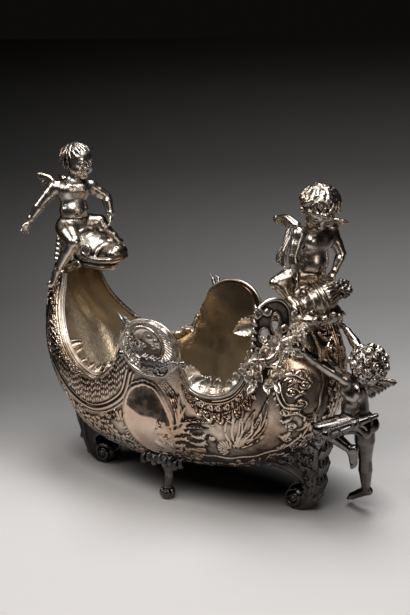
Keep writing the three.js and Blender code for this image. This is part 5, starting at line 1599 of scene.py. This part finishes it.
# The prow's and the stern's foot. frame and offset place them below the keel, and their points are x from
# there and z. A leaf row is (x, z, way), and a curl (x, z, radius, turns) with a small flower beside it.
endFeet = {
    "stern": {
        "frame": 17.2, "offset": -10, "width": 32, "heel": -1, "low": (-98, -28, -2),
        "high": (56, 28, 122),
        "corners": [(-5, -1), (8, -1), (18, 5), (28, 24), (33, 58), (35, 92), (44, 116), (16, 111),
                    (-22, 88), (-60, 62), (-96, 49), (-94, 40), (-78, 45), (-52, 55), (-12, 52),
                    (11, 38), (9, 22), (-6, 18)],
        "veins": [[(19, 12), (24, 34), (22, 60), (10, 76)], [(-80, 56), (-40, 65), (-8, 66), (12, 54)],
                  [(27, 50), (29, 80), (34, 104)], [(-30, 74), (-2, 84), (18, 96)]],
        "leaves": [(30, 30, (2, 22)), (33, 56, (1, 22)), (35, 82, (3, 20)), (22, 12, (7, 17))],
        "volutes": 5,
        "curls": [(20, 30, 6, 1.4), (22, 44, 5, -1.3), (24, 58, 6, 1.4), (23, 74, 6.5, -1.4),
                  (28, 90, 6, 1.4), (12, 62, 5, 1.3), (10, 78, 6, -1.4), (-4, 72, 6, 1.4),
                  (-20, 68, 5, -1.3), (16, 96, 5, 1.3), (32, 104, 4, -1.3), (-38, 58, 4.5, 1.3),
                  (-56, 55, 4, -1.3)]},
    "prow": {
        "frame": 5.7, "offset": 14, "width": 34, "heel": 1, "low": (-56, -24, -2),
        "high": (38, 24, 116),
        "corners": [(6, -1), (-8, -1), (-18, 5), (-30, 18), (-40, 44), (-48, 84), (-10, 110), (30, 74),
                    (24, 50), (-2, 44), (-12, 34), (-6, 24), (6, 20)],
        "veins": [[(-22, 12), (-30, 34), (-34, 60), (-36, 82)], [(-14, 46), (6, 56), (24, 66)],
                  [(-20, 60), (-2, 74), (6, 90)]],
        "leaves": [(-39, 34, (-3, 20)), (-43, 58, (-3, 20)), (-27, 12, (-9, 16))],
        "volutes": 0, "curls": []},
}


def makeEndFoot(name):
    look = endFeet[name]
    reach = bowlPoint(look["frame"], 0.001, near)[0] + look["offset"]

    def placed(line):
        return [(reach + x, z) for x, z in line]

    corners = placed(look["corners"])
    clay = Clay((reach, 0, 0) + np.array(look["low"]), (reach, 0, 0) + np.array(look["high"]), 1.18)
    leaves = [(reach + x, z, way) for x, z, way in look["leaves"]]
    outline = curve([*corners, corners[0]], 2.0)[:-1]
    shapeBracket(clay, outline, (reach + look["heel"], 15.5), look["width"],
                 [placed(v) for v in look["veins"]], leaves)
    for k in range(look["volutes"]):
        for hand in (-1, 1):
            spot = np.array([reach + 20 - 17 * k, hand * 15, 90 - 7 * k])
            clay.curl(spot, 6.5 - 0.5 * k, 1.3 * (-1) ** k, (1.9, 1.6), 0.8)
    for hand in (-1, 1):
        for x, z, radius, turns in look["curls"]:
            spot = np.array([reach + x, hand * 16, z])
            clay.curl(spot, radius, turns, (1.7, 1.4), 0.7, np.array([1, 0, 0.3]),
                      np.array([-0.3, 0, 1.0]))
            for t in range(5):
                petal = 2.2 * heading(t * fifthTurn)
                clay.ball((reach + x - 5 + petal[0], hand * 16.2, z + 7 + petal[1]),
                          (1.7, 1.9, 1.7), None, 0.4)
            clay.ball((reach + x - 5, hand * 17.0, z + 7), 1.5, None, 0.4)
    points, faces = clay.mesh()
    addPiece(name + "Foot", keptOutside(pressFlat(points)), faces, "darkSilver", "dark_silver",
             [name + "_foot"], 10)


def makeSideFoot(side, word, suffix):
    seat = bowlPoint(10.2, 0.36, side)
    x, y = seat[0], side * 70
    inner, outer = sorted((side * 50, side * 92))
    clay = Clay((x - 58, inner, -2), (x + 44, outer, 78), 0.96)
    clay.ball((x, y, 7.2), (10.6, 10.4, 8.6))
    for k in range(7):
        a = 2 * math.pi * k / 7
        clay.ball((x + 8.2 * math.cos(a), y + 8.2 * math.sin(a), 8), (3.2, 3.2, 7), None, 1.0)
    clay.limb((x + 0.5, y, 14), (x + 4, y, 34), 5.2, 5.6, 2)
    clay.limb((x + 4, y, 34), (x + 1, y * 0.95, 60), 5.6, 13, 4)
    clay.ball((x + 1, y, 17), (6.8, 6.8, 2.2), None, 0.8)
    clay.ball((x + 3, y, 33), (7.2, 7.2, 2.4), None, 0.8)
    clay.ball((x - 10, y, 60), (26, 13, 9), (unit((1, 0, -0.12)), (0, 1, 0), unit((0.12, 0, 1))), 5)
    apron = y + side * 9
    for k in range(8):
        root = np.array([x - 34 + 8.6 * k, apron, 54 + (k % 2) * 4])
        clay.tube([root, root + (2, side * 3, 6), root + (5, side * 1, 11)], (3.2, 2.8, 1.0), 1.2)
        clay.curl(root + (2, side * 2.5, -2), 3.6, 1.2, (1.5, 1.2), 0.8)
    points, faces = clay.mesh()
    addPiece("sideFoot" + word, keptOutside(pressFlat(points)), faces, "darkSilver", "dark_silver",
             ["side_foot" + suffix], 8)


dolphinLook = {"length": 96, "height": 52, "width": 60}


def makeDolphin():
    length, height, width = dolphinLook["length"], dolphinLook["height"], dolphinLook["width"]
    neck = np.array([(bowlFrames[0, 0] + bowlFrames[0, 2]) / 2 + shift, 0, bowlFrames[0, 4]])

    def p(x, y, z):
        return neck + np.array([x * length, y * width, z * height])

    def line(*points):
        return [p(*point) for point in points]

    clay = Clay(p(-0.2, -0.75, -0.25), p(1.1, 0.75, 1.2), 0.96)
    clay.ball(p(0.14, 0, 0.35), (length * 0.25, width * 0.44, height * 0.47))
    clay.ball(p(0.40, 0, 0.48), (length * 0.30, width * 0.46, height * 0.40), None, 5)
    brow = (unit((1, 0, -0.25)), (0, 1, 0), unit((0.25, 0, 1)))
    clay.ball(p(0.40, 0, 0.76), (length * 0.24, width * 0.30, height * 0.17), brow, 4)
    clay.limb(p(0.45, 0, 0.44), p(0.80, 0, 0.43), height * 0.36, height * 0.27, 5)
    clay.ball(p(0.88, 0, 0.46), (length * 0.13, width * 0.33, height * 0.25), None, 4)
    clay.limb(p(0.35, 0, 0.15), p(0.74, 0, 0.10), height * 0.24, height * 0.16, 2)
    mouth = line(*mirrored([(0.45, 0.36, 0.24), (0.78, 0.3, 0.22), (1.0, 0, 0.26)]))
    clay.tube(mouth, (1.6, 2.4, 1.6), 2, cut=True)
    upperLip = line(*mirrored([(0.42, 0.42, 0.40), (0.66, 0.37, 0.30), (0.88, 0.27, 0.32),
                               (0.98, 0, 0.36)]))
    clay.tube(curve(upperLip, 4), (3.0, 4.4, 4.8, 4.4, 3.0), 2)
    lowerLip = line(*mirrored([(0.42, 0.3, 0.1), (0.7, 0.22, 0.05), (0.84, 0, 0.07)]))
    clay.tube(curve(lowerLip, 4), (2.6, 3.6, 2.6), 2)
    for k, reach in enumerate((0.20, 0.34, 0.48, 0.62)):
        # Rolls of flesh over the brow, each lapping the next.
        over = [p(reach + 0.10 - 0.10 * abs(y), y * 0.40, 0.98 - 0.10 * k - 0.26 * y * y)
                for y in (-0.6, -0.2, 0.2, 0.6)]
        ends = [p(reach - 0.02, y * 0.40, 0.62 - 0.12 * k) for y in (-1, 1)]
        clay.tube(curve([ends[0], *over, ends[1]], 3), (1.6, 3.8 - 0.4 * k, 1.6), 2.2)
    for hand in (-1, 1):
        clay.ball(p(0.52, hand * 0.43, 0.58), (6.6, 4.4, 5.8), None, 1.5)
        clay.curl(p(0.52, hand * 0.49, 0.58), 7.4, 1.0, (1.5, 1.5), 1, inner=0.9)
        clay.ball(p(0.52, hand * 0.51, 0.58), (2.4, 2.0, 2.4), None, 0.6, cut=True)
        clay.ball(p(0.90, hand * 0.14, 0.62), (4.2, 3.6, 3.4), None, 1.5)
        clay.ball(p(0.93, hand * 0.15, 0.66), (1.4, 1.4, 1.8), None, 0.5, cut=True)
        for x, z, radius, turns in ((0.22, 0.34, 8, 1.5), (0.10, 0.14, 7, -1.4), (0.34, 0.14, 6, -1.4)):
            spot = p(x, hand * (0.46 - 0.1 * (0.34 - z)), z)
            clay.curl(spot, radius, turns, (2.4, 1.8), 1.0, np.array([-1, 0, 0.2]),
                      np.array([0.2, 0, 1.0]))
        for k in range(5):
            root = p(0.02, hand * (0.42 - 0.03 * k), 0.1 + 0.13 * k)
            clay.tube([root, root + (-4, hand * 2.5, 5), root + (-8, hand * 1.0, 11)],
                      (4.4, 3.6, 1.4), 1.5)
        throat = line((0.30, hand * 0.34, 0.14), (0.16, hand * 0.38, 0.02), (0.04, hand * 0.34, -0.08))
        clay.tube(throat, (8, 7.5, 5), 3)
        fold = line((0.12, hand * 0.42, 0.10), (0.04, hand * 0.46, 0.0), (0.0, hand * 0.40, -0.08))
        clay.tube(fold, (3.4, 3.0, 1.6), 1.5)
    clay.limb(p(0.86, 0, 0.14), p(0.72, 0, 0.12), 3, 3, 1)
    points, faces = clay.mesh()
    points[:, 2] = np.where(points[:, 0] < neck[0] + 20, np.maximum(points[:, 2], neck[2] - 8),
                            points[:, 2])
    relief = reliefOf(points, faces, 12) * 1.3 - 0.16
    addPiece("dolphinHead", points, faces, "castSilver", "cast_silver", ["dolphin_head"], relief=relief)


# The urn's profile: radius, and height over its mouth.
urnProfile = [(10, 14), (12.5, 5), (14, 1), (15.5, -0.5), (17, 1), (16.4, 3.4), (13.2, 8), (13.4, 13),
              (17, 19), (19.4, 26), (19.6, 34), (17.6, 44), (13, 53), (7.6, 59), (5.4, 62), (0.3, 62.5)]
# Its raised bands: how high they stand, where, and how wide they are.
urnBands = [(1.5, 30, 1.5), (1.3, 37, 1.3), (1.2, 19, 1.3)]


def makeStern():
    top = np.array([(bowlFrames[-1, 0] + bowlFrames[-1, 2]) / 2 + shift, 0, bowlFrames[-1, 4]])
    draw = np.random.default_rng(5)
    clay = Clay(top - (70, 68, 30), top + (34, 68, 56), 1.07)
    clay.ball(top + (-9, 0, -2), (32, 43, 16)).ball(top + (-26, 0, 20), (22, 29, 27), None, 6)
    for hand in (-1, 1):
        clay.limb(top + (-20, hand * 30, 0), top + (-42, hand * 52, 2), 12, 7, 4)
    for _ in range(46):
        a, z = draw.uniform(0, 2 * math.pi), draw.uniform(-12, 34)
        share = max(z, 0) / 34
        size = 1 - 0.45 * share
        spot = top + (-12 - 14 * max(z, 0) / 34 + 30 * size * math.cos(a), 40 * size * math.sin(a), z)
        way = unit(draw.normal(size=3) + (0, 0, 0.6))
        clay.tube([spot, spot + way * 6, spot + way * 11 + (0, 0, -2)], (4.2, 3.4, 1.4), 1.8)
    points, faces = clay.mesh()
    addPiece("sternSeat", points, faces, "castSilver", "dark_silver", ["stern_seat"], 10)

    mouth = top + (-20, -35, 11)
    axis = unit((0.68, 0.64, 0.35))
    side = crossed(axis, (0, 0, 1))
    other = crossed(axis, side)
    profile, around = curve(urnProfile, 0.8), 97
    t = np.linspace(0, 2 * math.pi, around)
    reach, along = profile[:, :1], profile[:, 1:]
    gadroons = 0.07 * np.abs(np.sin(9 * t))[None, :] * smoothStep(38, 46, along)
    notches = 0.02 * smoothStep(0, 0.4, np.sin(14 * t))[None, :]
    notches = notches * smoothStep(20, 16, along) * smoothStep(9, 12, along)
    bands = sum(high * np.exp(-(((along - at) / wide) ** 2)) for high, at, wide in urnBands)
    r = reach * (1 + gadroons - notches) + bands * (along > 12)
    ring = (r * np.cos(t))[..., None] * side + (r * np.sin(t))[..., None] * other
    points = (mouth + ring + (along + 0 * r)[..., None] * axis).reshape(-1, 3)
    faces = gridFaces(len(profile), around)
    outward = np.einsum("ij,ij->i", vertexNormals(points, faces), points - (mouth + axis * 30))
    if outward[len(points) // 2:].mean() < 0:
        faces = faces[:, ::-1]
    addPiece("urn", points, faces, "castSilver", "cast_silver", ["urn"], 8)

    end = mouth + axis * 63
    clay = Clay(end - 26, end + 26, 0.84)
    clay.limb(mouth + axis * 58, end, 5, 7)
    for k in range(26):
        z = 1 - 2 * (k + 0.5) / 26
        ring, a = math.sqrt(1 - z * z), k * 2.4
        way = np.array([ring * math.cos(a), ring * math.sin(a), z])
        clay.ball(end + way * 10.5 + axis * 2, draw.uniform(2.6, 4.8), None, 0.7)
    points, faces = clay.mesh()
    addPiece("urnFruit", points, faces, "darkSilver", "cast_silver", ["urn_fruit"], 8)


def makeGarland(side, word, suffix):
    # Flowers and leaves heaped over the stern's shoulder.
    draw = np.random.default_rng(11)
    spots = {"flower": [], "leaf": []}
    for k in range(130):
        u = draw.uniform(17.6, 22.6)
        v = 0.99 - 0.26 * draw.uniform() ** 1.2 * (0.45 + 0.55 * math.sin((u - 17.4) / 5.2 * math.pi))
        kind = "flower" if k % 5 == 0 else "leaf"
        spots[kind].append((u, v, draw.uniform(0.7, 1.15), draw.uniform(0, 2 * math.pi),
                            draw.uniform(0.5, 4.5)))
    for kind, shape, size in (("flower", flowerShape, 5.6), ("leaf", leafShape, 14.0)):
        u, v, scale, turn, lift = np.array(spots[kind]).T
        point, normal = bowlPoint(u, v, side), bowlNormal(u, v, side)
        first = np.cross(normal, (0, 0, 1.0))
        first /= np.linalg.norm(first, axis=1, keepdims=True)
        second = np.cross(normal, first)
        along = first * np.cos(turn)[:, None] + second * np.sin(turn)[:, None]
        tilted = normal + along * (-0.25 if kind == "leaf" else 0.15)
        copies("garland" + kind.title() + "s" + word, shape, point + normal * lift[:, None], tilted,
               along, scale * size, "cleanLitSilver", "cast_silver",
               ["garland" + suffix] if kind == "flower" else [])
    clay = Clay(bowlPoint(17.4, 0.9, side) - 60, bowlPoint(17.4, 0.9, side) + 100, 1.3)
    for start, end, v0, v1, radius in ((17.6, 22.2, 0.96, 0.86, 6.0), (18.2, 21.6, 0.9, 0.8, 4.6)):
        u = np.linspace(start, end, 26)
        v = np.linspace(v0, v1, 26) + 0.03 * np.sin(np.linspace(0, 12, 26))
        clay.tube(bowlPoint(u, v, side) + bowlNormal(u, v, side) * 1.2,
                  (radius * 0.6, radius, radius * 0.7), 1.5)
    points, faces = clay.mesh()
    addPiece("garlandStem" + word, keptOutside(points), faces, "castSilver", "cast_silver", [], 8)


def makeQuiver():
    hips = np.array([bowlFrames[20, 0] + 36 + shift, -16, 144])
    mouth = hips + (-20, -44, -3)
    tip = mouth + (52, 26, 25)
    axis = unit(tip - mouth)
    up = crossed(axis, crossed((0, 0, 1), axis))
    left = crossed(up, axis)
    clay = Clay(np.minimum(mouth, tip) - 20, np.maximum(mouth, tip) + 16, 0.78)
    clay.limb(mouth - axis * 4, mouth + axis * 34, 8.2, 6.2).limb(mouth + axis * 34, tip, 6.2, 3.2, 1)
    for share, radius in ((0.0, 9.4), (0.22, 8.8), (0.5, 7.6), (0.62, 7.2), (0.86, 5.2)):
        clay.ball(mouth + (tip - mouth) * share, (1.7, radius, radius), (axis, left, up), 0.8)
    for k in range(8):
        a = 2 * math.pi * k / 8
        way = left * math.cos(a) + up * math.sin(a)
        clay.limb(mouth + axis * 4 + way * 8.4, mouth + axis * 28 + way * 6.6, 1.2, 1.0, 0.5)
        clay.limb(mouth - axis * 4 + way * 3, mouth - axis * 13 + way * (3.5 + 1.5 * (k % 2)),
                  1.2, 1.0, 0.4)
        clay.ball(mouth - axis * 12 + way * (3.8 + 1.5 * (k % 2)), (4.2, 2.2, 1.1),
                  (axis, way, crossed(axis, way)), 0.4)
    points, faces = clay.mesh()
    addPiece("quiver", points, faces, "shadedSilver", "cast_silver", ["quiver"], 8)


for names in bothSides:
    makeRoundel(*names)
    makeSternScroll(*names)
    makeSideFoot(*names)
    makeGarland(*names)
    print("side:", names[1])
for place in endFeet:
    makeEndFoot(place)
makeDolphin()
makeStern()
makeQuiver()
for name in ("stern_foot_nut", "prow_foot_nut", "side_foot_near_nut", "side_foot_far_nut"):
    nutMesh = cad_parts[name].data
    nutMesh.materials.clear()
    nutMesh.materials.append(steel)
print("castings done")


def makeLight(name, place, aim, size, power, colour):
    lamp = bpy.data.lights.new(name, "AREA")
    lamp.shape, lamp.size, lamp.size_y = "RECTANGLE", size[0], size[1]
    lamp.energy, lamp.color = power, colour
    made = added(name, lamp)
    made.location = place
    made.rotation_euler = (Vector(aim) - Vector(place)).to_track_quat("-Z", "Y").to_euler()


stageLooks = {
    "world": (0.0040, 0.0034, 0.0030),
    # Painted falloff of the light over the floor, from pale near the object to dark behind it.
    "floor": [(0.0, 0.52), (0.032, 0.50), (0.042, 0.46), (0.052, 0.37), (0.064, 0.30), (0.085, 0.245),
              (0.13, 0.195), (0.19, 0.165), (0.5, 0.20), (0.72, 0.34), (1.0, 0.50)],
    "lights": [
        ("keyBox", (-1.35, -0.9, 1.55), (0, 0, 0.25), (1.0, 1.0), 14, (1, 0.97, 0.94)),
        ("frontBox", (0.35, -1.25, 1.75), (0, 0, 0.3), (1.3, 0.7), 20, (1, 0.97, 0.94)),
        ("topBox", (0.15, 0.15, 2.0), (0, 0, 0.1), (1.5, 0.9), 38, (1, 1, 1)),
        ("sideStrip", (1.8, -0.9, 0.75), (0, 0, 0.2), (0.3, 1.1), 3.5, (1, 0.86, 0.74)),
    ],
}


def makeStage():
    # Painted light and shade on the floor: pale around the object, fading into painted dark behind it, darker
    # on the prow's side, with a painted shadow under the hull and painted dark outside the view.
    floor = Shader("paleFloor")
    place = floor.place()
    east, north, _ = floor.split(place)
    reach = floor.node("ShaderNodeVectorMath", {"operation": "LENGTH"}, {0: place}, 1)
    behind, aside = north * 0.866 - east * 0.5, east * 0.866 + north * 0.5
    stops = [(at, (v, v, v)) for at, v in stageLooks["floor"]]
    base = floor.node("ShaderNodeValToRGB", {"stops": stops}, {0: (behind + 0.2) / 6.2})
    ratio = aside / (behind + 1.54)
    # Painted light: the floor behind the object is lighter on the stern's side and darker on the prow's.
    tilt = ratio * (behind / 0.4).clamped() * 2.8 + 1.0
    # Painted shade: the floor in front of the object, out of view, is darkened.
    paintedFrontShade = ((reach - 0.42) / 0.25).clamped() * (0.5 - behind * 3.0).clamped() * 0.9
    across, along = east / 0.275, (north - 0.045) / 0.118
    # Painted shadow under the hull.
    paintedHullShadow = ((across * across + along * along - 0.15) / 0.85).clamped() * 0.94 + 0.06
    # Painted shade: the floor outside the view is half as bright.
    paintedViewLight = ((ratio + 0.27) / 0.05).clamped() * ((0.27 - ratio) / 0.05).clamped()
    paintedViewLight = paintedViewLight * ((behind + 0.66) / 0.2).clamped()
    bright = (base * tilt * (1.0 - paintedFrontShade) * paintedHullShadow * (paintedViewLight * 0.5 + 0.5)).clamped()
    floor.surface({"Base Color": floor.blend(bright, (0, 0, 0), (1, 0.975, 0.965)), "Roughness": 0.9})
    rings, around = [0.15, 0.4, 0.8, 1.6, 3.0, 6.0, 12.0], 64
    t = np.linspace(0, 2 * math.pi, around + 1)[:-1]
    points = [(0, 0, 0)] + [(r * math.cos(a), r * math.sin(a), 0) for r in rings for a in t]
    faces = [(0, 1 + k, 1 + (k + 1) % around) for k in range(around)]
    for first in range(1, 1 + (len(rings) - 1) * around, around):
        for k in range(around):
            a, b = first + k, first + (k + 1) % around
            faces.append((a, a + around, b + around, b))
    mesh = bpy.data.meshes.new("floor")
    mesh.from_pydata(points, [], faces)
    mesh.materials.append(floor.material)
    added("floor", mesh)
    world = bpy.data.worlds.new("studio")
    bpy.context.scene.world = world
    world.use_nodes = True
    background = world.node_tree.nodes["Background"].inputs
    background["Color"].default_value = (*stageLooks["world"], 1)
    background["Strength"].default_value = 1.0
    for lamp in stageLooks["lights"]:
        makeLight(*lamp)


cameraView = {"azimuth": 30, "elevation": 16, "distance": 1.6, "target": (-0.00099, 0, 0.2609),
              "lens": 68.09}


def makeCamera():
    a, e = math.radians(cameraView["azimuth"]), math.radians(cameraView["elevation"])
    back = Vector((math.sin(a) * math.cos(e), -math.cos(a) * math.cos(e), math.sin(e)))
    camera = added("camera", bpy.data.cameras.new("camera"))
    camera.location = Vector(cameraView["target"]) + back * cameraView["distance"]
    camera.rotation_euler = (-back).to_track_quat("-Z", "Y").to_euler()
    camera.data.lens, camera.data.sensor_width = cameraView["lens"], 36
    camera.data.clip_start, camera.data.clip_end = 0.05, 60
    bpy.context.scene.camera = camera


makeStage()
makeCamera()
bpy.context.scene.view_settings.view_transform = "Standard"
